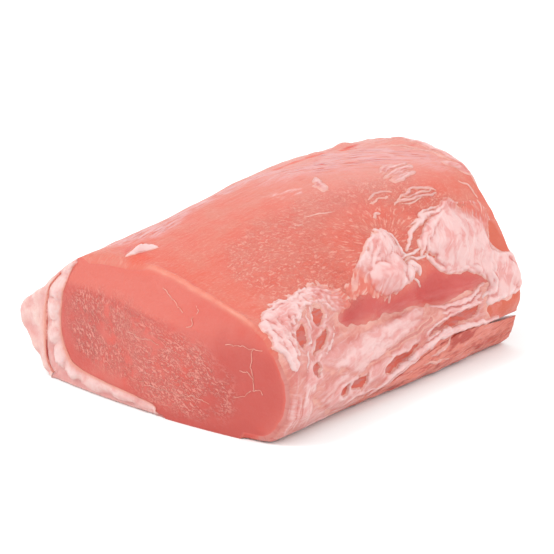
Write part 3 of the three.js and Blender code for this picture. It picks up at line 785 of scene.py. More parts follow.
def add_piece(name, corners, faces, materials, readings, coat=None):
    """A closed piece from corners in mm. Corners in one place become one, and its faces are turned out.
    readings are values for each corner that its materials read, and coat picks each face's material."""
    _, first, same = np.unique(np.round(corners, 4), axis=0, return_index=True, return_inverse=True)
    same = same.reshape(-1)
    corners = corners[first]
    faces = [same[f] for f in faces]
    tris = np.concatenate([f[:, [0, k, k + 1]] for f in faces for k in range(1, f.shape[1] - 1)])
    a, b, c = (corners[tris[:, k]] for k in range(3))
    if (a * np.cross(b, c)).sum() < 0:
        faces = [f[:, ::-1] for f in faces]
    mesh = bpy.data.meshes.new(name)
    every = [face for f in faces for face in f.tolist()]
    mesh.from_pydata(((corners - MIDDLE) * MM).tolist(), [], every, shade_flat=False)
    for key, values in readings.items():
        mesh.attributes.new(key, "FLOAT", "POINT").data.foreach_set("value", values[first].astype(np.float32))
    for material in materials:
        mesh.materials.append(material)
    if coat is not None:
        mesh.polygons.foreach_set("material_index", np.concatenate(coat).astype(np.int32))
    mesh.update()
    return in_scene(name, mesh)


def settle(piece, slot, *nodes):
    """The piece rides on the loin's one body and stands for the nodes named, which are hidden. slot is not
    used.
    """
    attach(piece, "root")
    if nodes:
        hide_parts(*nodes)


def softened(solid, radius, within_radius):
    """A block of corners (rows, columns, layers, 3) with the long edges of its two ends rounded."""
    outer, inner = solid[:, :, :1], solid[:, :, -1:]
    thick = np.linalg.norm(inner - outer, axis=-1)
    way = (inner - outer) / np.maximum(thick, 1e-6)[..., None]
    deep = np.linspace(0, 1, solid.shape[2])[None, None] * thick
    r = np.minimum(np.where(deep < 0.5 * thick, radius, within_radius), 0.48 * thick)
    b = np.maximum(r - deep, 0) - np.maximum(r - thick + deep, 0)
    for cut, sign in ((near_cut, 1), (far_cut, -1)):
        a = np.maximum(r - sign * (solid[..., 0] - cut(solid[..., 1], solid[..., 2])), 0)
        pull = 1 - np.maximum(a, np.abs(b)) / np.maximum(np.hypot(a, b), 1e-9)
        pull = np.where((a > 0) & (b != 0), pull, 0)
        solid = solid + way * (b * pull)[..., None]
        solid[..., 0] += sign * a * pull
    return solid


LUMPS_BACK = 0.5  # how far behind the cut an end with lumps on it starts
END_SWELLS = 3.5  # run from a cut in which the swelling of its end dies out


def block(name, outside, within, material, slot, node, layers, radius, inner, roughen, cell, level=(1.0, 1.0),
          lumps=()):
    """A layer of meat between an outside and an inside sheet of corners (rows, columns, 3).
    It is a closed block with its own grid on all six sides. Its ends swell by lumps and by noise, of which
    level keeps a share at the outside and within."""
    share = np.linspace(0, 1, layers)[None, None, :, None]
    solid = softened(outside[:, :, None] * (1 - share) + within[:, :, None] * share, radius, inner)
    y, z = solid[..., 1], solid[..., 2]
    dome = np.zeros_like(y)
    for middle_y, middle_z, wide, tall, rise in lumps:
        d2 = ((y - middle_y) / wide) ** 2 + ((z - middle_z) / tall) ** 2
        dome = np.maximum(dome, rise * np.sqrt(np.clip(1 - d2, 0, 1)))
    dome = dome - (LUMPS_BACK if lumps else 0) + roughen * rough(solid, cell, 103)
    depth = np.linspace(0, 1, layers)
    dome *= lerp(level[0], 1, smoothstep(0, 0.4, depth)) * lerp(level[1], 1, smoothstep(1, 0.6, depth))
    near_end = smoothstep(END_SWELLS, 0, solid[..., 0] - near_cut(y, z))
    far_end = smoothstep(END_SWELLS, 0, far_cut(y, z) - solid[..., 0])
    solid[..., 0] += (far_end - near_end) * dome
    deep = np.broadcast_to(depth, solid.shape[:3])
    values = np.concatenate([solid, deep[..., None], dome[..., None], (near_end + far_end)[..., None]], -1)
    sides = [(values[0], 0), (values[-1], 1), (values[:, 0], 1), (values[:, -1], 0), (values[:, :, 0], 0),
             (values[:, :, -1], 1)]
    faces, start = [], 0
    for side, turned in sides:
        f = sheet_faces(*side.shape[:2]) + start
        faces.append(f[:, ::-1] if turned else f)
        start += side.shape[0] * side.shape[1]
    every = np.concatenate([side.reshape(-1, 6) for side, _ in sides])
    readings = {"deep": every[:, 3], "dome": every[:, 4], "end": every[:, 5]}
    settle(add_piece(name, every[:, :3], [np.concatenate(faces)], [material], readings), slot, node)


SHEET_LEAST = 0.1  # least rise of a torn sheet inside its edge
SHEET_REACH = 0.6  # how far a torn sheet dips under the skin outside its edge
SHEET_THICK = 0.35  # of a torn sheet down there
SKIN_START = -69.0  # x from which places along the skin are counted
SKIN_LONG = 142.0
SKIN_SHARES = (0.003, 0.9975)  # shares of the length between which torn sheets lie


def sheet(name, window, step, form, way, material):
    """A torn sheet lying on the dressed skin: a closed shell on its own grid, dipping under the skin outside
    its edge. form gives, at (x, up), its rise, the millimetres in from its edge and how sheer it is."""
    run = grain_line(way)
    (low_x, low_up), (high_x, high_up) = window
    along = np.arange(low_x - SKIN_START, high_x - SKIN_START + 5, step) / SKIN_LONG
    share = np.unique(np.clip(along, *SKIN_SHARES))
    v = even_places(TOE - 1.2, FAT_FROM - 0.02, lambda up: np.full_like(up, step), share.mean())
    ups = length_up(share[:: max(1, len(share) // 6)], v)
    v = v[(ups > low_up - 1).any(0) & (ups < high_up + 1).any(0)]
    yz, out = section(OUTLINE, share, v), outward(share, v)
    x, up = placed(yz, share)[..., 0], length_up(share, v)
    rise, edge, sheer = form(x, up)
    rise = np.where(edge > 0, rise + SHEET_LEAST * smoothstep(0, 0.5, edge), edge)
    rise = np.maximum(rise, -SHEET_REACH)
    skin = dressed(yz, x, up) + strip_rise(share, v)
    top = placed(yz + out * (skin + rise)[..., None], share)
    foot = placed(yz + out * (skin - SHEET_REACH - SHEET_THICK)[..., None], share)
    for side, least in ((top, 0.03), (foot, 0.02)):  # both stay clear of the floor
        side[..., 2] = np.maximum(side[..., 2], least)
    rows, columns = x.shape
    cells = sheet_faces(rows, columns)
    cells = cells[(edge.reshape(-1)[cells] > -SHEET_REACH).any(1)]
    sides = np.concatenate([cells[:, [k, (k + 1) % 4]] for k in range(4)])
    _, which, count = np.unique(np.sort(sides, 1), axis=0, return_inverse=True, return_counts=True)
    rim = sides[count[which.reshape(-1)] == 1]
    under = rows * columns
    walls = np.stack([rim[:, 1], rim[:, 0], rim[:, 0] + under, rim[:, 1] + under], -1)
    faces = np.concatenate([cells, cells[:, ::-1] + under, walls])
    used, faces = np.unique(faces, return_inverse=True)
    twice = lambda a: np.concatenate([a.reshape(-1)] * 2)[used]
    whole = rise + skin
    along, across = run(x, up)
    # crest and swell are how far the sheet stands above its surroundings, close by and farther round; its
    # finish paints highlight on the ridges and shade in the hollows by them.
    readings = {"along": along, "across": across, "thick": np.maximum(rise, 0), "sheer": sheer,
                "crest": rise - smeared(rise, 14), "swell": whole - smeared(whole, 60)}
    corners = np.concatenate([top.reshape(-1, 3), foot.reshape(-1, 3)])[used]
    readings = {key: twice(values) for key, values in readings.items()}
    settle(add_piece(name, corners, [faces.reshape(-1, 4)], [material], readings), "firm_fat")


def frayed(outline, table, lumps, film, seed, ragged=1.0, cell=3.0, soft=0.8, holes=(), sheer=0.0, blur=0.6,
           crumbs=0.06, fade=None, creases=()):
    """The form of a torn sheet: film inside an outline, with ropes and lumps, less its holes and creases. The
    film thins from one end of the line fade to the other."""
    def form(x, up):
        sx, sup = shaken(x, up, ragged, cell, seed)
        inner = inside(outline, sx, sup) if outline else np.full_like(x, OUTSIDE)
        rx, rup = shaken(x, up, blur, 4.5, seed + 3)
        high, rope_edge = roped(rx, rup, table)
        dome, dome_edge = lumped(rx, rup, lumps)
        edge = np.maximum(np.maximum(inner, rope_edge), dome_edge)
        thin = np.zeros_like(x)
        if fade:
            (ax, ay), (bx, by) = fade
            long = math.hypot(bx - ax, by - ay)
            thin = smoothstep(0, 1, ((sx - ax) * (bx - ax) + (sup - ay) * (by - ay)) / long**2)
        rise = film * (1 - 0.85 * thin) * (1 - np.exp(-np.maximum(inner, 0) / soft))
        rise += (high**3 + dome**3) ** (1 / 3) * (1 - 0.5 * thin)
        rise += crumbs * rough(on_skin(x, up), 2.6, seed + 7) * smoothstep(0.3, 1.5, edge)
        for line, wide, deep in creases:
            rise -= deep * np.exp(-((off_line(line, rx, rup) / wide) ** 2)) * smoothstep(0.3, 1.5, edge)
        if holes:
            hole = deepest(holes, x, up, 0.9, 4, 60)
            uneven = 0.14 + 0.2 * noise(on_skin(x, up), 3, seed + 9)
            rise += uneven * np.exp(-(((hole + 1.0) / 0.9) ** 2)) * (inner > 0)
            edge = np.minimum(edge, -hole)
        return rise, edge, np.maximum(sheer, 2 * thin)
    return form


# ---------------------------------------------------------------- the lean eye
# What the two finishes of the lean read at each corner.
# The crest and deep readings lead to painted shade on the skin, and the sheen reading to a painted sheen on
# its silver skin.
SKIN_TINTS = (
    "fan", "pale_top", "warm", "crest", "deep", "sheen", "bright", "veil", "hole", "blush", "spot", "rim",
)
CUT_TINTS = ("slant", "marble", "upper", "dark", "crease", "blush", "rim")
READINGS = dict.fromkeys(("along", "up", "far_top", *SKIN_TINTS, *CUT_TINTS), 0.0)
READINGS |= {"veil": OUTSIDE, "hole": OUTSIDE}


def all_readings(given, shape):
    """Every reading of the lean for a grid of corners. Those not given say nothing."""
    return {key: given.get(key, np.full(shape, nothing)) for key, nothing in READINGS.items()}


def bare_skin(share, v):
    """(y, z) of the lean's bare skin at places v round it, and what skin_readings takes."""
    yz, out = section(OUTLINE, share, v), outward(share, v)
    x, up = placed(yz, share)[..., 0], length_up(share, v)
    foot_v = TOE - STRIP_FOOT - FAT_CLEAR
    rise = np.where(yz[..., 1] > 0, dressed(yz, x, up), 0)
    # under the bed of the rib strip the skin is plain, or the edge of the far cut would fold
    rise *= 1 - smoothstep(STRIP_FROM - 3, STRIP_FROM, x) * (v < foot_v)
    holes = deepest(HOLES, x, up, 0.9, 4, 60)
    bare = above_floor(yz + out * (rise - HOLE_SINK * smoothstep(-0.2, 0.7, holes))[..., None])
    top_v, swell, notch = strip_top(share, True)
    t = (v[None] - foot_v) / (top_v - foot_v)[:, None]
    bedded = (t > 0) & (t < 1) & (lerp(-HALF_LENGTH, HALF_LENGTH, share) > STRIP_FROM)[:, None]
    bed = hollow(share, foot_v, top_v, np.clip(t, 0, 1)[..., None], STRIP_DEPTH * swell + notch)
    near = x - near_cut(yz[..., 0], yz[..., 1])
    return np.where(bedded[..., None], bed, bare), (x, up, near, rise + corner_drop(yz, x, up), holes, bedded)


def skin_readings(x, up, near, rise, holes, bedded):
    """What the finish of the bare skin reads. near is the distance from the near cut."""
    # silver skin, which the finish paints paler as sheen
    sheen = np.max([smoothstep(-2, 3.5, inside(SHEEN, *shaken(x, up, 1.6, 9, 31))),
                    0.9 * smoothstep(-5, 5, inside(FAR_SHEEN, *shaken(x, up, 2.5, 10, 33))),
                    1.3 * smoothstep(3.4, 0.4, beside(SILVER_SHEEN_LINES, 16, x, up, 1, 5, 35))], 0)
    glow = np.exp(-(((x + 56.5) / 3.4) ** 2) - ((up - 108) / 5) ** 2)
    fresh = smoothstep(26, -2, near) * smoothstep(56, 62, up) * (1 - smoothstep(96, 112, up))
    blush = smoothstep(1.9, 0.5, beside(BLUSHES, 12, x, up, 0.8, 4, 37))
    uneven = 0.7 + 0.4 * noise(on_skin(x, up), 3.5, 27)
    return {
        "along": x, "up": up, "far_top": smoothstep(4, 26, x) * smoothstep(78, 90, up),
        "fan": smoothstep(-13, 8, inside(FAN, x, up)),
        "pale_top": 0.75 * smoothstep(-25, 45, x) * smoothstep(64, 88, up),
        # crest: how far the skin stands above its surroundings, by which its finish paints shade into the
        # hollows
        "warm": 0.45 * fresh + glow, "crest": rise - smeared(rise, 25),
        # deep: painted shade in the recess under the torn fat and on the bed under the rib strip
        "deep": 0.9 * smoothstep(-2.5, 3.5, inside(RECESS, *shaken(x, up, 1.2, 6, 21))) + bedded,
        # bright: pale streaks of fat, painted whiter as highlight
        "sheen": sheen, "bright": smoothstep(1.5, 0.3, beside(PALE_STREAKS, 12, x, up, 0.9, 4, 39)),
        "veil": np.maximum(inside(VEIL, *shaken(x, up, 1.5, 8, 25)), OUTSIDE),
        "hole": np.maximum(holes, OUTSIDE), "blush": np.maximum(blush, glow**2),
        "spot": smoothstep(-0.2, 0.5, deepest(BARE_SPOTS, x, up, 0.8, 2.4, 80)),
        "rim": 0.85 * lip_share(up) * smoothstep(1.5, 0.4, near) * uneven,
    }


def cut_readings(y, z, up, inward):
    """What the finish of a cut reads. inward is the distance in from its edge."""
    def patch(outline, soft, cell, seed):
        """How far a place lies inside an outline, whose edge is ragged and soft."""
        return smoothstep(-soft, soft, inside(outline, *shaken(y, z, 2, cell, seed)))

    crest_line = CREASE_HEIGHT + 2.4 * smoothstep(0, 22, y) - 1.2 * smoothstep(0, -16, y)
    fat_half = smoothstep(-34, -6, y)
    high = smoothstep(-0.7, 1.4, z - crest_line + 0.5 * rough(on_skin(y, z), 4, 91)) * fat_half
    dark = np.max([0.85 * patch(DARK_CUT, 7, 9, 73), 0.6 * patch(DARK_LEFT, 5, 9, 75),
                   0.9 * patch(DARK_FOOT, 3, 9, 77)], 0)
    return {
        "up": up, "slant": smoothstep(16, 0, y), "marble": patch(MARBLED, 4, 8, 71),
        "upper": np.maximum(high, 0.55 * smoothstep(26, 44, z) * (1 - fat_half)), "dark": dark * (1 - high),
        "crease": 0.6 * np.exp(-(((z - crest_line + 0.6) / 0.9) ** 2)) * smoothstep(-8, 4, y),
        "blush": 0.8 * np.exp(-(((y - 12) / 9) ** 2) - ((z - 49) / 3) ** 2),
        "rim": 0.5 * lip_share(up) * smoothstep(1.4, 0.4, inward),
    }


def cut_face(ring, up, cut, steps, sign, first):
    """Corners, faces and readings of a cut, its edge drawn in to the middle of the eye in even steps. sign is
    the way the cut looks, -1 for the near one, and first is the number of its first corner."""
    columns = len(ring)
    shrink = np.linspace(1, 0, steps + 1)[:-1]
    face = lerp(np.array(EYE_CENTRE), ring[None], shrink[:, None, None])
    face = np.concatenate([face.reshape(-1, 2), [EYE_CENTRE]])
    y, z = face.T
    inward = EYE_RADIUS * np.append(np.repeat(1 - shrink, columns), 1)
    x = cut(y, z) - sign * smoothstep(0, 3, inward) * cut_grain(face)
    quads = sheet_faces(steps, columns, True) + first
    last = first + (steps - 1) * columns + np.arange(columns)
    hub = np.stack([last, np.roll(last, -1), np.full(columns, first + steps * columns)], -1)
    readings = all_readings(cut_readings(y, z, np.append(np.tile(up, steps), 0), inward), y.shape)
    return np.stack([x, y, z], -1), [f[:, ::sign] for f in (quads, hub)], readings


# ---------------------------------------------------------------- colour and finish
WET_IOR = 1.4  # how strongly moist meat and fat bend light
FILM_IOR = 1.35  # the wet film over them
LEAN_GLOW = (2.0, 0.8, 0.5)  # millimetres that red, green and blue light go into the lean
SILVER_TURN = -0.68  # radians by which the silver skin's streaks turn from the loin on the far top
STRIP_TURN = -0.2  # radians by which the fibres of the thin strips turn from the loin


def colour(hex_code):
    """sRGB hex to the linear colour that Blender's sockets hold."""
    parts = [int(hex_code[i:i + 2], 16) / 255 for i in (1, 3, 5)]
    return (*[c / 12.92 if c <= 0.04045 else ((c + 0.055) / 1.055) ** 2.4 for c in parts], 1.0)


def add(tree, kind, inputs=None, out=0, **settings):
    """Adds a node with its settings and links, and gives one of its outputs."""
    node = tree.nodes.new(kind)
    for key, value in settings.items():
        setattr(node, key, value)
    for key, value in (inputs or {}).items():
        if isinstance(value, bpy.types.NodeSocket):
            tree.links.new(value, node.inputs[key])
        else:
            node.inputs[key].default_value = value
    return node.outputs[out] if node.outputs else node


def product(tree, *factors):
    """Factors multiplied together. A factor is a number, a socket, or (socket, low, high) for how far that
    socket has come from low to high, smoothly from 0 to 1."""
    whole = None
    for factor in factors:
        if isinstance(factor, tuple):
            value, low, high = factor
            factor = add(tree, "ShaderNodeMapRange", {0: value, 1: low, 2: high},
                         interpolation_type="SMOOTHSTEP")
        if whole is None:
            whole = factor
        else:
            whole = add(tree, "ShaderNodeMath", {0: whole, 1: factor}, operation="MULTIPLY")
    return whole


def added(tree, *terms, start=0.0):
    """A start and terms added up, each term as (weight, socket)."""
    for weight, value in terms:
        start = add(tree, "ShaderNodeMath", {0: value, 1: weight, 2: start}, operation="MULTIPLY_ADD")
    return start


def coats(tree, hues, ground, *layers):
    """Colours laid over a ground one after another, each as a colour and then the factors of how much of it
    shows. A colour is the name of a hue, or a socket."""
    tint = lambda one: hues[one] if isinstance(one, str) else one
    mixed = tint(ground)
    for over, *factors in layers:
        much = product(tree, *factors)
        mixed = add(tree, "ShaderNodeMix", {0: much, 6: mixed, 7: tint(over)}, 2, data_type="RGBA")
    return mixed


def new_material(name, *readings):
    """An empty material, its tree, and sockets with the mesh's readings that it uses."""
    material = bpy.data.materials.new(name)
    material.use_nodes = True
    tree = material.node_tree
    tree.nodes.clear()
    read = {key: add(tree, "ShaderNodeAttribute", out=2, attribute_name=key) for key in readings}
    return material, tree, read


def finish_moist(tree, base, roughness, height, bump_mm, depth, radius_mm, film):
    """Moist meat or fat: light goes a little way in, and a thin wet film gives soft highlights."""
    bump = add(tree, "ShaderNodeBump", {"Height": height, "Distance": bump_mm * MM, "Strength": 1.0})
    shader = add(tree, "ShaderNodeBsdfPrincipled", {
        "Base Color": base, "Roughness": roughness, "Normal": bump, "IOR": WET_IOR,
        "Subsurface Weight": depth, "Subsurface Radius": [r * MM for r in radius_mm], "Subsurface Scale": 1.0,
        "Coat Weight": film, "Coat Roughness": 0.3, "Coat IOR": FILM_IOR, "Coat Normal": bump,
    })
    add(tree, "ShaderNodeOutputMaterial", {"Surface": shader})


def millimetres(tree):
    """Object coordinates in mm."""
    spot = add(tree, "ShaderNodeTexCoord", out=3)
    return add(tree, "ShaderNodeVectorMath", {0: spot, 1: (1 / MM,) * 3}, operation="MULTIPLY")


def pattern(tree, place, size_mm, stretch=(1.0, 1.0, 1.0), detail=2.0, distortion=0.0, roughness=0.55,
            turn=(0, 0, 0)):
    """Noise whose features are about so many mm across, times a length along each turned axis."""
    place = add(tree, "ShaderNodeMapping", {"Vector": place, "Rotation": turn, "Scale": stretch},
                vector_type="TEXTURE")
    return add(tree, "ShaderNodeTexNoise", {"Vector": place, "Scale": 1 / size_mm, "Detail": detail,
                                           "Distortion": distortion, "Roughness": roughness}, 0)


def lean_skin(hues):
    """Raw lean pork as its muscle is pulled free: moist, fine-grained, with silver skin under a painted
    sheen, painted shade in its hollows and torn membrane.
    """
    material, tree, read = new_material("raw_lean_pork_skin", "along", "up", "far_top", *SKIN_TINTS)
    place = add(tree, "ShaderNodeCombineXYZ", {"X": read["along"], "Y": read["up"]})
    mottle = pattern(tree, place, 11, detail=3.0)
    fine = pattern(tree, place, 1.3, roughness=0.6)
    # fibres run out from the torn lobe, so this pattern is drawn in turns and lengths round it
    away = add(tree, "ShaderNodeVectorMath", {0: place, 1: (*FAN_FOCUS, 0)}, operation="SUBTRACT")
    parts = add(tree, "ShaderNodeSeparateXYZ", {0: away}).node.outputs
    turn = add(tree, "ShaderNodeMath", {0: parts[1], 1: parts[0]}, operation="ARCTAN2")
    far = add(tree, "ShaderNodeVectorMath", {0: away}, 1, operation="LENGTH")

    def ring(turns, lengths, distortion):
        """Fibres round the lobe, finer the more turns they have."""
        at = add(tree, "ShaderNodeCombineXYZ", {"X": product(tree, turn, turns),
                                                "Y": product(tree, far, lengths)})
        return pattern(tree, at, 0.9, distortion=distortion)

    rays = add(tree, "ShaderNodeMix", {0: product(tree, (far, 16.0, 30.0)), 2: ring(15.0, 0.3, 0.8),
                                       3: ring(36.0, 0.5, 1.4)})
    fan = product(tree, (added(tree, (1.0, read["fan"]), (1.0, mottle)), 0.35, 1.15))
    off_middle = add(tree, "ShaderNodeMath", {0: added(tree, (1.0, rays), start=-0.5)}, operation="ABSOLUTE")
    wrinkle = product(tree, (off_middle, 0.05, 0.01), fan)

    def fibres(size_mm, long, far_size_mm, far_long, detail, distortion):
        """Streaks along the loin, turned on the far top, where the silver skin pulls across it."""
        here = pattern(tree, place, size_mm, (long, 1.0, 1.0), detail, distortion)
        there = pattern(tree, place, far_size_mm, (far_long, 1.0, 1.0), detail, distortion,
                        turn=(0, 0, SILVER_TURN))
        return add(tree, "ShaderNodeMix", {0: read["far_top"], 2: here, 3: there})

    streak, line = fibres(1.5, 4.0, 1.5, 5.0, 4.0, 0.4), fibres(0.9, 10.0, 0.8, 12.0, 2.0, 0.3)
    ground = coats(
        tree, hues, "coral",
        ("salmon", (mottle, 0.35, 0.7)),
        ("pale_top", read["pale_top"]),
        ("warm", read["warm"]),
        ("valley", (rays, 0.5, 0.36), fan, 0.2),
        ("valley", wrinkle, 0.4),
        ("crest", (rays, 0.54, 0.66), fan, 0.6),
        ("crest", (fine, 0.52, 0.72), 0.2),
        # painted shade in the skin's hollows, where it lies below its surroundings
        ("valley", (read["crest"], -0.05, -0.35)),
        # painted shade in the recess under the torn fat and under the rib strip
        ("recess", read["deep"]),
    )
    scratch = product(tree, (line, 0.43, 0.33), read["sheen"])
    ragged_veil = added(tree, (1.0, read["veil"]), (9.0, streak), start=-4.5)
    ragged_hole = added(tree, (1.0, read["hole"]), (2.0, fine), start=-1.0)
    film = coats(tree, hues, "membrane", ("membrane_fold", (streak, 0.5, 0.38), 0.5),
                 ("membrane_pink", (mottle, 0.5, 0.75)))
    flesh = coats(tree, hues, "bare", ("membrane_fold", (streak, 0.45, 0.6)))
    base = coats(
        tree, hues, ground,
        # silver skin, painted paler as sheen
        ("silver", read["sheen"], (streak, 0.36, 0.6)),
        # painted glints along fine lines in the sheen
        ("fat_pink", read["sheen"], (line, 0.54, 0.64), 0.6),
        # pale streaks of fat, painted whiter as highlight
        ("fat", read["bright"], (streak, 0.4, 0.75)),
        ("valley", scratch, 0.8),
        (film, (ragged_veil, -4.5, 5.0)),
        (flesh, (ragged_hole, -0.6, 0.6)),
        ("warm_red", read["blush"], 0.8),
        ("raw_red", read["spot"]),
        ("rim", read["rim"]),
    )
    height = added(tree, (0.45, product(tree, rays, fan)), (-0.15, wrinkle), (0.35, fine), (0.6, streak),
                   (-0.5, scratch))
    gloss = add(tree, "ShaderNodeMapRange", {0: mottle, 1: 0.3, 2: 0.7, 3: 0.34, 4: 0.48})
    finish_moist(tree, base, gloss, height, bump_mm=0.4, depth=0.2, radius_mm=LEAN_GLOW, film=0.15)
    return material


def lean_cut(hues):
    """Raw lean pork across the grain: matt, finely marbled, darker in patches at its foot, by the fat, low on
    the rib side and along its crease.
    """
    material, tree, read = new_material("raw_lean_pork_cut", *CUT_TINTS)
    mm = millimetres(tree)
    mottle = pattern(tree, mm, 9, detail=3.0)
    fine = pattern(tree, mm, 1.1, detail=3.0, roughness=0.6)

    def flecks(lean, size_mm):
        """Short bent strokes of fat between the bundles, about 0.5 mm wide and 2 mm long."""
        worm = pattern(tree, mm, size_mm, (3.0, 1.0, 2.3), 1.5, 1.3, turn=(lean, 0, 0))
        return product(tree, (worm, 0.48, 0.56))

    stroke = add(tree, "ShaderNodeMix", {0: read["slant"], 2: flecks(-0.55, 0.62), 3: flecks(-1.15, 0.68)})
    much = product(tree, read["marble"], (pattern(tree, mm, 6.0), 0.28, 0.52))
    fleck = product(tree, stroke, much)
    base = coats(
        tree, hues, "cut",
        ("cut_warm", (mottle, 0.4, 0.7)),
        ("facet", read["upper"]),
        ("cut_dark", read["dark"]),
        ("cut_dark", read["crease"]),
        ("cut_dark", added(tree, (-1.0, stroke), start=1.0), much, 0.3),
        ("marbling", fleck, 0.6),
        ("warm_red", read["blush"], 0.7),
        ("rim", read["rim"]),
    )
    gloss = add(tree, "ShaderNodeMapRange", {0: fine, 1: 0.3, 2: 0.7, 3: 0.42, 4: 0.56})
    height = added(tree, (1.0, fine), (1.2, fleck))
    finish_moist(tree, base, gloss, height, bump_mm=0.22, depth=0.18, radius_mm=LEAN_GLOW, film=0.12)
    return material


def fat(name, hues, ground, blush_share, cell_mm):
    """Raw pork fat: waxy, nearly white, light going well in, blushed pink where blood or muscle shows."""
    material, tree, read = new_material(name, "dome", "end", "deep")
    mm = millimetres(tree)
    mottle = pattern(tree, mm, 1.3 * cell_mm, detail=4.0)
    fine = pattern(tree, mm, 1.0, detail=3.0, roughness=0.65)
    long = pattern(tree, mm, 2.0, (4.0, 1.0, 1.0), 3.0)
    base = coats(
        tree, hues, ground,
        ("fat_white", (fine, 0.45, 0.7), 0.6),
        ("fat_pink", (mottle, 0.45, 0.66), blush_share),
        ("fat_pink", (long, 0.5, 0.36), 0.5 * blush_share),
        ("fat_pink", (read["dome"], 0.5, -0.5), read["end"], 0.8),
        ("fat_white", (read["dome"], 0.5, 1.3), read["end"], 0.7),
        ("rim", (read["deep"], 0.8, 0.98), 0.8),
    )
    height = added(tree, (1.0, fine), (0.8, long))
    finish_moist(tree, base, 0.4, height, bump_mm=0.22, depth=0.35, radius_mm=(2.4, 1.3, 1.0), film=0.2)
    return material


def torn_fat(hues):
    """Torn pork fat and film: white and waxy where thick, see-through pink where it thins over muscle, with
    painted highlights on its ridges and painted shade in its hollows.
    """
    material, tree, read = new_material(
        "torn_pork_fat", "along", "across", "sheer", "thick", "crest", "swell")
    place = add(tree, "ShaderNodeCombineXYZ", {"X": read["along"], "Y": read["across"]})
    fine = pattern(tree, place, 1.1, (1.6, 1.0, 1.0), 3.0, roughness=0.65)
    mottle = pattern(tree, place, 5.0, (1.8, 1.0, 1.0), 3.0)
    streak = pattern(tree, place, 1.0, (7.0, 1.0, 1.0), 3.0, 0.5)
    sheer = add(tree, "ShaderNodeMath", {0: read["sheer"], 1: 1.0}, operation="MINIMUM")
    thick = added(tree, (1.0, read["thick"]), (0.6, mottle), (0.35, fine), start=-0.47)
    # glare: how much painted highlight and whitening of its streaks the thick fat takes
    glare = added(tree, (-0.5, sheer), start=0.8)
    film = coats(tree, hues, "membrane", ("membrane_pink", (mottle, 0.45, 0.62), 0.7),
                 ("membrane_fold", (streak, 0.46, 0.34), 0.35))
    solid = coats(tree, hues, "fat", ("fat_pink", (mottle, 0.44, 0.6), 0.8))
    base = coats(
        tree, hues, solid,
        (film, sheer, (thick, 0.9, 0.3)),
        # painted highlight on the ridges
        ("fat_white", (read["crest"], 0.0, 0.25), glare),
        ("fat_white", (streak, 0.52, 0.64), glare, 0.85),
        # painted shade in the hollows between the ropes and in the wider hollows of the sheet
        ("membrane_pink", (read["crest"], -0.03, -0.25), 0.6),
        ("membrane_pink", (read["swell"], -0.1, -0.9), 0.5),
        ("crest", (thick, 0.5, 0.05), 0.8),
        ("coral", (read["sheer"], 0.9, 1.9), (streak, 0.57, 0.45), 0.9),
    )
    height = added(tree, (1.0, fine), (1.5, streak))
    finish_moist(tree, base, 0.38, height, bump_mm=0.15, depth=0.28, radius_mm=(2.2, 1.1, 0.9), film=0.25)
    return material


def strip_lean(name, hues, axis, red_from, red_to):
    """Darker muscle in a thin strip: long fibres, drying, flecked with fat, freshest red at one end."""
    material, tree, _ = new_material(name)
    mm = millimetres(tree)
    fibre = pattern(tree, mm, 1.1, (7.0, 1.0, 1.0), 4.0, 0.6, turn=(0, STRIP_TURN, 0))
    mottle = pattern(tree, mm, 6, (2.0, 1.0, 1.0), 3.0, turn=(0, STRIP_TURN, 0))
    end = add(tree, "ShaderNodeSeparateXYZ", {0: mm}, axis)
    base = coats(
        tree, hues, "strip",
        ("strip_pale", (mottle, 0.46, 0.6)),
        ("strip_dark", (mottle, 0.5, 0.38)),
        ("raw_red", (end, red_from, red_to), 0.75),
        ("strip_dark", (fibre, 0.5, 0.36), 0.7),
        ("fat_pink", (fibre, 0.55, 0.66), (mottle, 0.45, 0.6), 0.8),
    )
    finish_moist(tree, base, 0.4, fibre, bump_mm=0.4, depth=0.2, radius_mm=LEAN_GLOW, film=0.25)
    return material


def vein_fat(hues):
    """Veins of fat between the muscle's bundles: pale, wet and slightly see-through."""
    material, tree, _ = new_material("marbling_vein_fat")
    vary = pattern(tree, millimetres(tree), 3.0)
    base = coats(tree, hues, "vein", ("marbling", (vary, 0.4, 0.6)))
    finish_moist(tree, base, 0.42, vary, bump_mm=0.05, depth=0.3, radius_mm=(2.0, 1.0, 0.8), film=0.15)
    return material


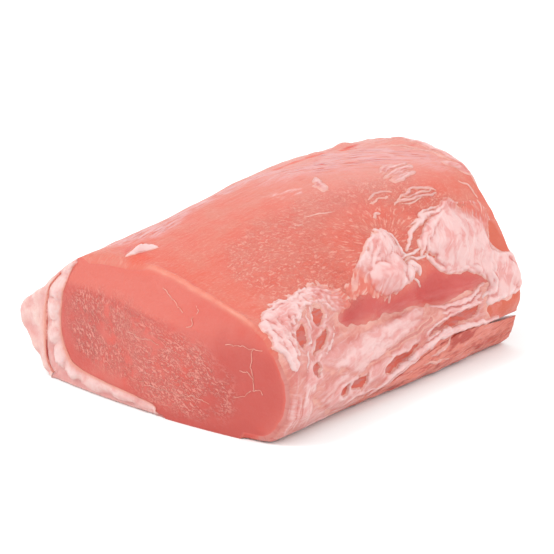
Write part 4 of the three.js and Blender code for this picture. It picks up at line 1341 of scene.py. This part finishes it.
# ---------------------------------------------------------------- threads, by Geometry Nodes
def thread_tree():
    """Threads that follow the edges of a carrier mesh: bent by noise, tapering to both ends."""
    tree = bpy.data.node_groups.new("Tissue threads", "GeometryNodeTree")
    face = tree.interface
    face.new_socket("Geometry", in_out="INPUT", socket_type="NodeSocketGeometry")
    for name, kind, value in (
        ("Thickness", "NodeSocketFloat", 0.3 * MM), ("Bend", "NodeSocketVector", (0.3 * MM,) * 3),
        ("Bend size", "NodeSocketFloat", 2.5 * MM), ("Steps", "NodeSocketInt", 12),
        ("Sides", "NodeSocketInt", 6), ("Seed", "NodeSocketInt", 3),
    ):
        face.new_socket(name, in_out="INPUT", socket_type=kind).default_value = value
    face.new_socket("Material", in_out="INPUT", socket_type="NodeSocketMaterial")
    face.new_socket("Geometry", in_out="OUTPUT", socket_type="NodeSocketGeometry")
    given = tree.nodes.new("NodeGroupInput").outputs
    curve = add(tree, "GeometryNodeMeshToCurve", {"Mesh": given["Geometry"]})
    curve = add(tree, "GeometryNodeResampleCurve", {"Curve": curve, "Count": given["Steps"]})
    place = add(tree, "GeometryNodeInputPosition")
    scale = add(tree, "ShaderNodeMath", {0: 1.0, 1: given["Bend size"]}, operation="DIVIDE")
    wander = add(tree, "ShaderNodeTexNoise", {"Vector": place, "Scale": scale, "W": given["Seed"],
                                             "Detail": 1.0}, 1, noise_dimensions="4D")
    wander = add(tree, "ShaderNodeVectorMath", {0: wander, 1: (0.5, 0.5, 0.5)}, operation="SUBTRACT")
    wander = add(tree, "ShaderNodeVectorMath", {0: wander, 1: given["Bend"]}, operation="MULTIPLY")
    curve = add(tree, "GeometryNodeSetPosition", {"Geometry": curve, "Offset": wander})
    share = add(tree, "GeometryNodeSplineParameter")
    swell = add(tree, "ShaderNodeMath", {0: share, 1: math.pi}, operation="MULTIPLY")
    swell = add(tree, "ShaderNodeMath", {0: swell}, operation="SINE")
    swell = add(tree, "ShaderNodeMath", {0: swell, 1: 0.75, 2: 0.2}, operation="MULTIPLY_ADD")
    curve = add(tree, "GeometryNodeSetCurveRadius", {"Curve": curve, "Radius": swell})
    half = add(tree, "ShaderNodeMath", {0: given["Thickness"], 1: 0.5}, operation="MULTIPLY")
    ring = add(tree, "GeometryNodeCurvePrimitiveCircle", {"Resolution": given["Sides"], "Radius": half})
    body = add(tree, "GeometryNodeCurveToMesh", {"Curve": curve, "Profile Curve": ring, "Fill Caps": True})
    body = add(tree, "GeometryNodeSetShadeSmooth", {"Geometry": body})
    body = add(tree, "GeometryNodeRealizeInstances", {"Geometry": body})
    body = add(tree, "GeometryNodeSetMaterial", {"Geometry": body, "Material": given["Material"]})
    add(tree, "NodeGroupOutput", {"Geometry": body})
    return tree


def threads(name, lines, material, slot, **sizes):
    """Threads along lines of corners in mm."""
    edges, start = [], 0
    for line in lines:
        edges += [(start + k, start + k + 1) for k in range(len(line) - 1)]
        start += len(line)
    mesh = bpy.data.meshes.new(name)
    mesh.from_pydata(((np.concatenate(lines) - MIDDLE) * MM).tolist(), edges, [])
    carrier = in_scene(name + "_lines", mesh)
    tree = bpy.data.node_groups.get("Tissue threads") or thread_tree()
    modifier = carrier.modifiers.new("Threads", "NODES")
    modifier.node_group = tree
    sockets = {s.name: s.identifier for s in tree.interface.items_tree if s.in_out == "INPUT"}
    modifier[sockets["Material"]] = material
    for key, value in sizes.items():
        modifier[sockets[key.replace("_", " ").capitalize()]] = value
    carrier.update_tag()
    bpy.context.view_layer.update()
    graph = bpy.context.evaluated_depsgraph_get()
    made = bpy.data.meshes.new_from_object(carrier.evaluated_get(graph))
    bpy.data.objects.remove(carrier)
    if not made.polygons:
        raise RuntimeError(f"{name} came out empty")
    settle(in_scene(name, made), slot)


# ---------------------------------------------------------------- what a user would change
# Each hue's sRGB code and what it colours.
HUES = {
    "coral": ("#C85F4D", "Lean of the top"),
    "salmon": ("#C6705F", "Paler lean of the top"),
    "pale_top": ("#CB8A80", "Lean towards the far top, under silver skin"),
    "warm": ("#C94B30", "Orange-red lean"),
    "warm_red": ("#CE4D35", "Orange-red blood near the surface"),
    # This hue also paints shade into the hollows of the lean's top.
    "valley": ("#C65146", "Between the fibres of the top"),
    "crest": ("#D69C8E", "Along the fibres of the top"),
    # This hue paints the shade in the recess under the torn fat.
    "recess": ("#B94743", "Hollow under the torn fat"),
    # This hue is silver skin and the painted sheen on it.
    "silver": ("#CC9594", "Silver skin"),
    "membrane": ("#C27870", "Membrane of the rib side"),
    "membrane_fold": ("#B7645C", "Folds of the membrane"),
    # This hue also paints shade into the hollows of the torn fat.
    "membrane_pink": ("#B9554B", "Pinker membrane"),
    "bare": ("#BF513F", "Bare muscle in the holes"),
    "raw_red": ("#C15840", "Fresh red muscle"),
    "rim": ("#D0826E", "Edge of the near cut"),
    "cut": ("#C66257", "Cut lean"),
    "cut_warm": ("#C8564A", "Warmer cut lean"),
    "facet": ("#C86457", "Upper facet of the cut"),
    "cut_dark": ("#B54A42", "Darker cut lean by the rib side"),
    "marbling": ("#DC9588", "Marbling"),
    "vein": ("#CC7B6D", "Veins of fat"),
    "fat": ("#D6ACA9", "Torn fat"),
    # This hue also paints highlights on the ridges of the torn fat.
    "fat_white": ("#D9BBB9", "Whitest fat"),
    # This hue also paints glints in the sheen of the top.
    "fat_pink": ("#CD8782", "Blushed fat"),
    "strip": ("#CC7767", "Rib muscle"),
    "strip_dark": ("#A93C2F", "Darker rib muscle"),
    "strip_pale": ("#CD7566", "Paler rib muscle"),
    "soft_fat": ("#D8B5AC", "Soft outer fat"),
    "band_fat": ("#D8B1AB", "Firm inner fat"),
    "floor": ("#F8FFFF", "Floor"),
}


def hue_property(key):
    code, words = HUES[key]
    return bpy.props.FloatVectorProperty(
        name=words, description=f"{words}, as a linear colour", default=colour(code), subtype="COLOR", size=4,
        min=0.0, max=1.0)


class LoinColours(bpy.types.PropertyGroup):
    """Colours of the lean, the fat and the floor."""
    __annotations__ = {key: hue_property(key) for key in HUES}


class LoinSizes(bpy.types.PropertyGroup):
    """Sizes of the detail that dresses the solids."""
    grid: bpy.props.FloatProperty(
        name="Grid", description="Distance between the corners of the lean's mesh", default=0.62 * MM,
        min=0.4 * MM, max=3 * MM, unit="LENGTH", precision=5)
    flap_grid: bpy.props.FloatProperty(
        name="Flap grid", description="Distance between the corners of the torn fat", default=0.42 * MM,
        min=0.3 * MM, max=2 * MM, unit="LENGTH", precision=5)
    film: bpy.props.FloatProperty(
        name="Film", description="Thickness of the torn film of fat on the rib side", default=0.5 * MM,
        min=0.2 * MM, max=2 * MM, unit="LENGTH", precision=5)
    vein: bpy.props.FloatProperty(
        name="Vein thickness", description="Thickness of a vein of fat in the near cut", default=0.3 * MM,
        min=0.1 * MM, max=1.5 * MM, unit="LENGTH", precision=5)
    seed: bpy.props.IntProperty(
        name="Seed", description="Seed of everything scattered", default=7, min=0)


def hues():
    """The colours as the user has them."""
    group = bpy.context.scene.loin_colours
    return {key: tuple(getattr(group, key)) for key in HUES}


# ---------------------------------------------------------------- operators
FAT_GRID = 0.8  # distance along the loin between the corners of the fat's mesh
STRIP_GRID = 0.7  # and of the rib strip's


class LOIN_OT_lean(bpy.types.Operator):
    """Build the lean eye of the loin with its cut faces"""
    bl_idname = "loin.lean"
    bl_label = "Lean"

    def execute(self, context):
        grid = context.scene.loin_sizes.grid / MM
        share = even_shares(grid)

        def spacing(up):
            """Wider steps where little shows: under the loin and on the top."""
            side = np.where(up < 0, 3.2, 1.0)
            return grid * np.where(up < 64, side * 0.9, np.where(up < 112, 1.25, 1.5))

        bare_v = even_places(FAT_TO - TURN + FAT_CLEAR, FAT_FROM - FAT_CLEAR, spacing)
        bare, known = bare_skin(share, bare_v)
        fat_v = np.linspace(FAT_FROM, FAT_TO, 60)
        covered = towards(section(LEAN_EDGE, share, fat_v), section(OUTLINE, share, fat_v), -SEAM)
        rings = np.concatenate([bare, covered], 1)
        rows, columns = rings.shape[:2]
        side = all_readings({}, (rows, columns))
        for key, values in skin_readings(*known).items():
            side[key][:, :len(bare_v)] = values
        corners, readings = [placed(rings, share).reshape(-1, 3)], [side]
        faces = [sheet_faces(rows, columns, True)]
        for row, cut, steps, sign in ((0, near_cut, 44, -1), (rows - 1, far_cut, 26, 1)):
            face = cut_face(rings[row], side["up"][row], cut, steps, sign, sum(map(len, corners)))
            corners.append(face[0])
            faces += face[1]
            readings.append(face[2])
        readings = {key: np.concatenate([part[key].reshape(-1) for part in readings]) for key in READINGS}
        finishes = [lean_skin(hues()), lean_cut(hues())]
        coat = [np.full(len(f), k > 0) for k, f in enumerate(faces)]  # the skin's faces, then the cuts'
        lean = add_piece("lean_eye", np.concatenate(corners), faces, finishes, readings, coat)
        settle(lean, "lean", "loin_eye")
        return {"FINISHED"}


class LOIN_OT_back_fat(bpy.types.Operator):
    """Build the back fat: firm inner fat, the thin red muscle in it and soft outer fat"""
    bl_idname = "loin.back_fat"
    bl_label = "Back fat"

    def execute(self, context):
        share, tint = even_shares(FAT_GRID), hues()

        def curves(v):
            return [section(table, share, v) for table in (OUTLINE, LEAN_EDGE, RED_LINE)]

        def waved(skin, v, wave):
            """Skin with waves in it, which die out towards the floor."""
            at = placed(skin, share)
            return skin + outward(share, v) * (wave(at) * smoothstep(0.5, 3.0, at[..., 2]))[..., None]

        # inner fat: its outside is the skin, then the bed of the red muscle, then the skin again
        v = np.concatenate([
            np.linspace(FAT_FROM, RED_FROM - 2 * FAT_CLEAR, 14),
            np.linspace(RED_FROM - FAT_CLEAR, RED_TO + FAT_CLEAR, 62),
            np.linspace(RED_TO + 2 * FAT_CLEAR, FAT_TO, 52),
        ])
        skin, lean, red = curves(v)
        in_bed = (v > RED_FROM - 1.5 * FAT_CLEAR) & (v < RED_TO + 1.5 * FAT_CLEAR)
        near_bed = smoothstep(0.35, 0.05, np.maximum(RED_FROM - v, v - RED_TO))
        open_skin = waved(skin, v, lambda at: 0.3 * rough(at, 9, 101))
        outside = np.where(in_bed[None, :, None], towards(red, lean, RED_THICK + 2 * SEAM), open_skin)
        block("inner_back_fat", placed(above_floor(outside), share), placed(lean, share),
              fat("firm_back_fat", tint, "band_fat", 0.6, 4.5), "firm_fat", "inner_fat", layers=11,
              radius=lerp(1.7, 0.1, near_bed)[None, :, None], inner=0.3, roughen=0.5, cell=3.0,
              level=(0.25, 0.15), lumps=FAT_LUMPS)
        # outer fat and the red muscle under it
        v = np.linspace(RED_FROM - 3 * FAT_CLEAR, RED_TO + 3 * FAT_CLEAR, 76)
        skin, lean, red = curves(v)
        soft = waved(skin, v, lambda at: 0.45 * rough(at, 16, 107) + 0.15 * rough(at, 4, 109))
        block("outer_back_fat", placed(above_floor(soft), share), placed(red, share),
              fat("soft_back_fat", tint, "soft_fat", 0.4, 7.0), "soft_fat", "outer_fat", layers=14,
              radius=3.6, inner=0.1, roughen=0.7, cell=6.0, level=(1.0, 0.15))
        red_out, red_in = (placed(towards(red, lean, mm), share) for mm in (SEAM, SEAM + RED_THICK))
        block("seam_muscle_sheet", red_out, red_in, strip_lean("thin_seam_muscle", tint, 2, 28.0, 38.0),
              "seam_lean", "seam_muscle", layers=3, radius=0.1, inner=0.1, roughen=0.3, cell=2.0,
              level=(0.2, 0.2))
        return {"FINISHED"}


class LOIN_OT_rib_strip(bpy.types.Operator):
    """Build the dark strip of muscle along the foot of the rib side"""
    bl_idname = "loin.rib_strip"
    bl_label = "Rib strip"

    def execute(self, context):
        share = even_shares(STRIP_GRID, (STRIP_FROM + HALF_LENGTH) / (2 * HALF_LENGTH), 1.0)
        top_v, swell, _ = strip_top(share, False)
        foot_v = TOE - STRIP_FOOT
        t = np.linspace(0, 1, 44)[None]
        v = foot_v + (top_v[:, None] - foot_v) * t
        outside = section(OUTLINE, share, v) + outward(share, v) * strip_rise(share, v)[..., None]
        t = lerp(STRIP_ENDS, 1 - STRIP_ENDS, t)[..., None]
        within = hollow(share, foot_v, top_v, t, STRIP_DEPTH * swell)
        block("rib_muscle_strip", placed(above_floor(outside), share), placed(within, share),
              strip_lean("raw_rib_muscle", hues(), 0, 44.0, 64.0), "strip_lean", "rib_strip", layers=12,
              radius=1.2, inner=0.6, roughen=0.3, cell=3.0)
        return {"FINISHED"}


class LOIN_OT_torn_fat(bpy.types.Operator):
    """Build the torn flaps of fat on the rib side and top"""
    bl_idname = "loin.torn_fat"
    bl_label = "Torn fat"

    def execute(self, context):
        sizes = context.scene.loin_sizes
        step, film = sizes.flap_grid / MM, sizes.film / MM
        rng = np.random.default_rng(sizes.seed)
        white = torn_fat(hues())

        def lay(name, window, way, *form, **more):
            sheet(name, window, step, frayed(*form, **more), way, white)

        lay("torn_fat_near", ((-70, 18), (-16, 57)), -8, NEAR_PATCH,
            ropes(NEAR_ROPES) + woven(NEAR_FLOW, 10, 0.9, 0.35, rng, (0.15, 0.5), 1.0) +
            woven(NEAR_FALLS, 8, 0.9, 0.35, rng, (0.2, 0.6), 0.9),
            NEAR_LUMPS + strewn(NEAR_PATCH, 60, 1.5, 0.4, rng),
            0.9 * film, 201, ragged=2.2, cell=3.0, holes=HOLES[5:8], sheer=0.4, blur=1.2, crumbs=0.26,
            fade=((-44, 44), (-16, 44)))
        lay("torn_fat_middle", ((-34, 32), (30, 64)), (13, 66), MIDDLE_LOBE,
            ropes(MIDDLE_ROPES) + woven(MIDDLE_FLOW, 24, 1.0, 0.5, rng, (0.35, 1.0)) +
            woven(MIDDLE_STRAY, 7, 0.7, 0.22, rng, (0.3, 0.9), 0.9), MIDDLE_LUMPS,
            1.1 * film, 211, ragged=1.2, sheer=0.25, crumbs=0.1, fade=((0, 50), (-12, 43)))
        lay("torn_fat_far", ((12, 18), (70, 66)), 57, FAR_MASS,
            ropes(FAR_ROPES) + woven(FAR_FLOW, 16, 2.6, 0.3, rng, (0.4, 1.0), 0.5),
            FAR_LUMPS + strewn(FAR_MASS, 6, 4.0, 0.3, rng), 2.0 * film, 221, ragged=1.5, cell=5.0,
            holes=BARE_SPOTS[:1], soft=1.0, sheer=0.45, blur=0.9, fade=((47, 50), (58, 60)))
        lay("torn_fat_top", ((-16, 62), (70, 112)), -30, None,
            ropes(TOP_ROPES) + woven(TOP_FLOW, 34, 0.7, 0.55, rng, (0.3, 1.0), 0.4), (),
            film, 241, blur=0.9, sheer=0.9, crumbs=0.12)
        lay("fat_nub", ((-72, 106), (-42, 120)), -35, None, ropes(NUB_ROPES), (), film, 251, blur=0.35)
        lay("rib_membrane", ((-71, -1), (54, 50)), 8, VEIL,
            ropes(VEIL_ROPES) + ropes(RIDGE_ROPES) + woven(VEIL_FLOW, 22, 2.6, 0.4, rng, (0.2, 0.8), 1.2) +
            woven(VEIL_FALLS, 16, 1.3, 0.4, rng, (0.3, 1.0)), (),
            0.6 * film, 231, ragged=1.5, cell=6.0, soft=4.0, holes=HOLES, sheer=1.0, blur=0.8, crumbs=0.04,
            creases=ropes(VEIL_CREASES))
        return {"FINISHED"}


class LOIN_OT_veins(bpy.types.Operator):
    """Build the veins of fat in the near cut"""
    bl_idname = "loin.veins"
    bl_label = "Veins"

    def execute(self, context):
        sizes = context.scene.loin_sizes
        lines = []
        for vein in VEINS:
            yz = curved(vein, 10)
            y, z = yz.T
            lines.append(np.stack([near_cut(y, z) + cut_grain(yz) - VEIN_LIFT, y, z], -1))
        threads("cut_veins", lines, vein_fat(hues()), "firm_fat", thickness=sizes.vein,
                bend=(0.0, 2.6 * MM, 2.6 * MM), bend_size=2.2 * MM, steps=34, sides=6, seed=sizes.seed)
        return {"FINISHED"}


# The photograph's camera: a long lens, so many degrees round from the rib side and above the floor.
CAMERA_DISTANCE = 900.0
CAMERA_LENS = 160.0
CAMERA_SENSOR = 36.0
CAMERA_ROUND = -50.0
CAMERA_ABOVE = 18.0
CAMERA_TARGET = (8.381, 1.949, 28.0)  # mm, in the model's own frame
CAMERA_SEES = (0.05, 20.0)  # metres, nearest and farthest
# Soft round lamps, as (place in metres, metres across, watts), and the light all round.
LAMPS = {"key": ((-0.9, 0.7, 1.4), 1.0, 13.0), "fill": ((0.5, -1.3, 0.9), 1.2, 7.0)}
LIGHT_ROUND = 1.1
FLOOR_HALF = 3.0  # metres


def studio_card(hues):
    """Matt white studio card: the faintest tooth, so that shadows lie on it softly and nothing shines."""
    material, tree, _ = new_material("matt_white_studio_card")
    tooth = pattern(tree, millimetres(tree), 2.5, roughness=0.5)
    bump = add(tree, "ShaderNodeBump", {"Height": tooth, "Distance": 0.02 * MM})
    shader = add(tree, "ShaderNodeBsdfPrincipled", {"Base Color": hues["floor"], "Roughness": 0.9,
                                                   "Specular IOR Level": 0.1, "Normal": bump})
    add(tree, "ShaderNodeOutputMaterial", {"Surface": shader})
    return material


def aimed(name, data, place, way):
    """A lamp or a camera at a place in metres, looking along way."""
    holder = in_scene(name, data)
    holder.location = place
    holder.rotation_mode = "QUATERNION"
    holder.rotation_quaternion = way.to_track_quat("-Z", "Y")
    return holder


class LOIN_OT_stage(bpy.types.Operator):
    """Build the floor, the soft studio light and the camera"""
    bl_idname = "loin.stage"
    bl_label = "Stage"

    def execute(self, context):
        scene = context.scene
        mesh = bpy.data.meshes.new("floor")
        h = FLOOR_HALF
        mesh.from_pydata([(-h, -h, 0), (h, -h, 0), (h, h, 0), (-h, h, 0)], [], [(0, 1, 2, 3)])
        mesh.materials.append(studio_card(hues()))
        floor = in_scene("floor", mesh)
        world = bpy.data.worlds.new("soft_studio")
        scene.world = world
        world.use_nodes = True
        background = world.node_tree.nodes["Background"]
        background.inputs["Color"].default_value = (1.0, 1.0, 1.0, 1.0)
        background.inputs["Strength"].default_value = LIGHT_ROUND
        for name, (place, size, power) in LAMPS.items():
            lamp = bpy.data.lights.new(name, "AREA")
            lamp.shape, lamp.size, lamp.energy = "DISK", size, power
            aimed(name, lamp, place, -Vector(place))
        a, e = math.radians(CAMERA_ROUND), math.radians(CAMERA_ABOVE)
        back = Vector((math.sin(a) * math.cos(e), -math.cos(a) * math.cos(e), math.sin(e)))
        camera = bpy.data.cameras.new("camera")
        camera.lens, camera.sensor_width = CAMERA_LENS, CAMERA_SENSOR
        camera.clip_start, camera.clip_end = CAMERA_SEES
        place = Vector(CAMERA_TARGET) * MM + back * CAMERA_DISTANCE * MM
        scene.camera = aimed("camera", camera, place, -back)
        scene.view_settings.view_transform = "Standard"
        scene.view_settings.look = "None"
        return {"FINISHED"}


class LOIN_PT_panel(bpy.types.Panel):
    """Sidebar panel that lists the loin's pieces"""
    bl_label = "Pork Loin"
    bl_idname = "LOIN_PT_panel"
    bl_space_type = "VIEW_3D"
    bl_region_type = "UI"
    bl_category = "Pork Loin"

    def draw(self, context):
        for operator in OPERATORS:
            self.layout.operator(operator.bl_idname)
        for group in (context.scene.loin_sizes, context.scene.loin_colours):
            for key in group.bl_rna.properties.keys():
                if key not in ("rna_type", "name"):
                    self.layout.prop(group, key)


OPERATORS = (
    LOIN_OT_stage, LOIN_OT_lean, LOIN_OT_back_fat, LOIN_OT_rib_strip, LOIN_OT_torn_fat, LOIN_OT_veins,
)
CLASSES = (LoinColours, LoinSizes, *OPERATORS, LOIN_PT_panel)


def register():
    for one in CLASSES:
        bpy.utils.register_class(one)
    bpy.types.Scene.loin_colours = bpy.props.PointerProperty(type=LoinColours)
    bpy.types.Scene.loin_sizes = bpy.props.PointerProperty(type=LoinSizes)


def unregister():
    del bpy.types.Scene.loin_sizes
    del bpy.types.Scene.loin_colours
    for one in reversed(CLASSES):
        bpy.utils.unregister_class(one)


def main():
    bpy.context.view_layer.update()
    register()
    for operator in OPERATORS:
        group, name = operator.bl_idname.split(".")
        getattr(getattr(bpy.ops, group), name)()


if __name__ == "__main__":
    main()
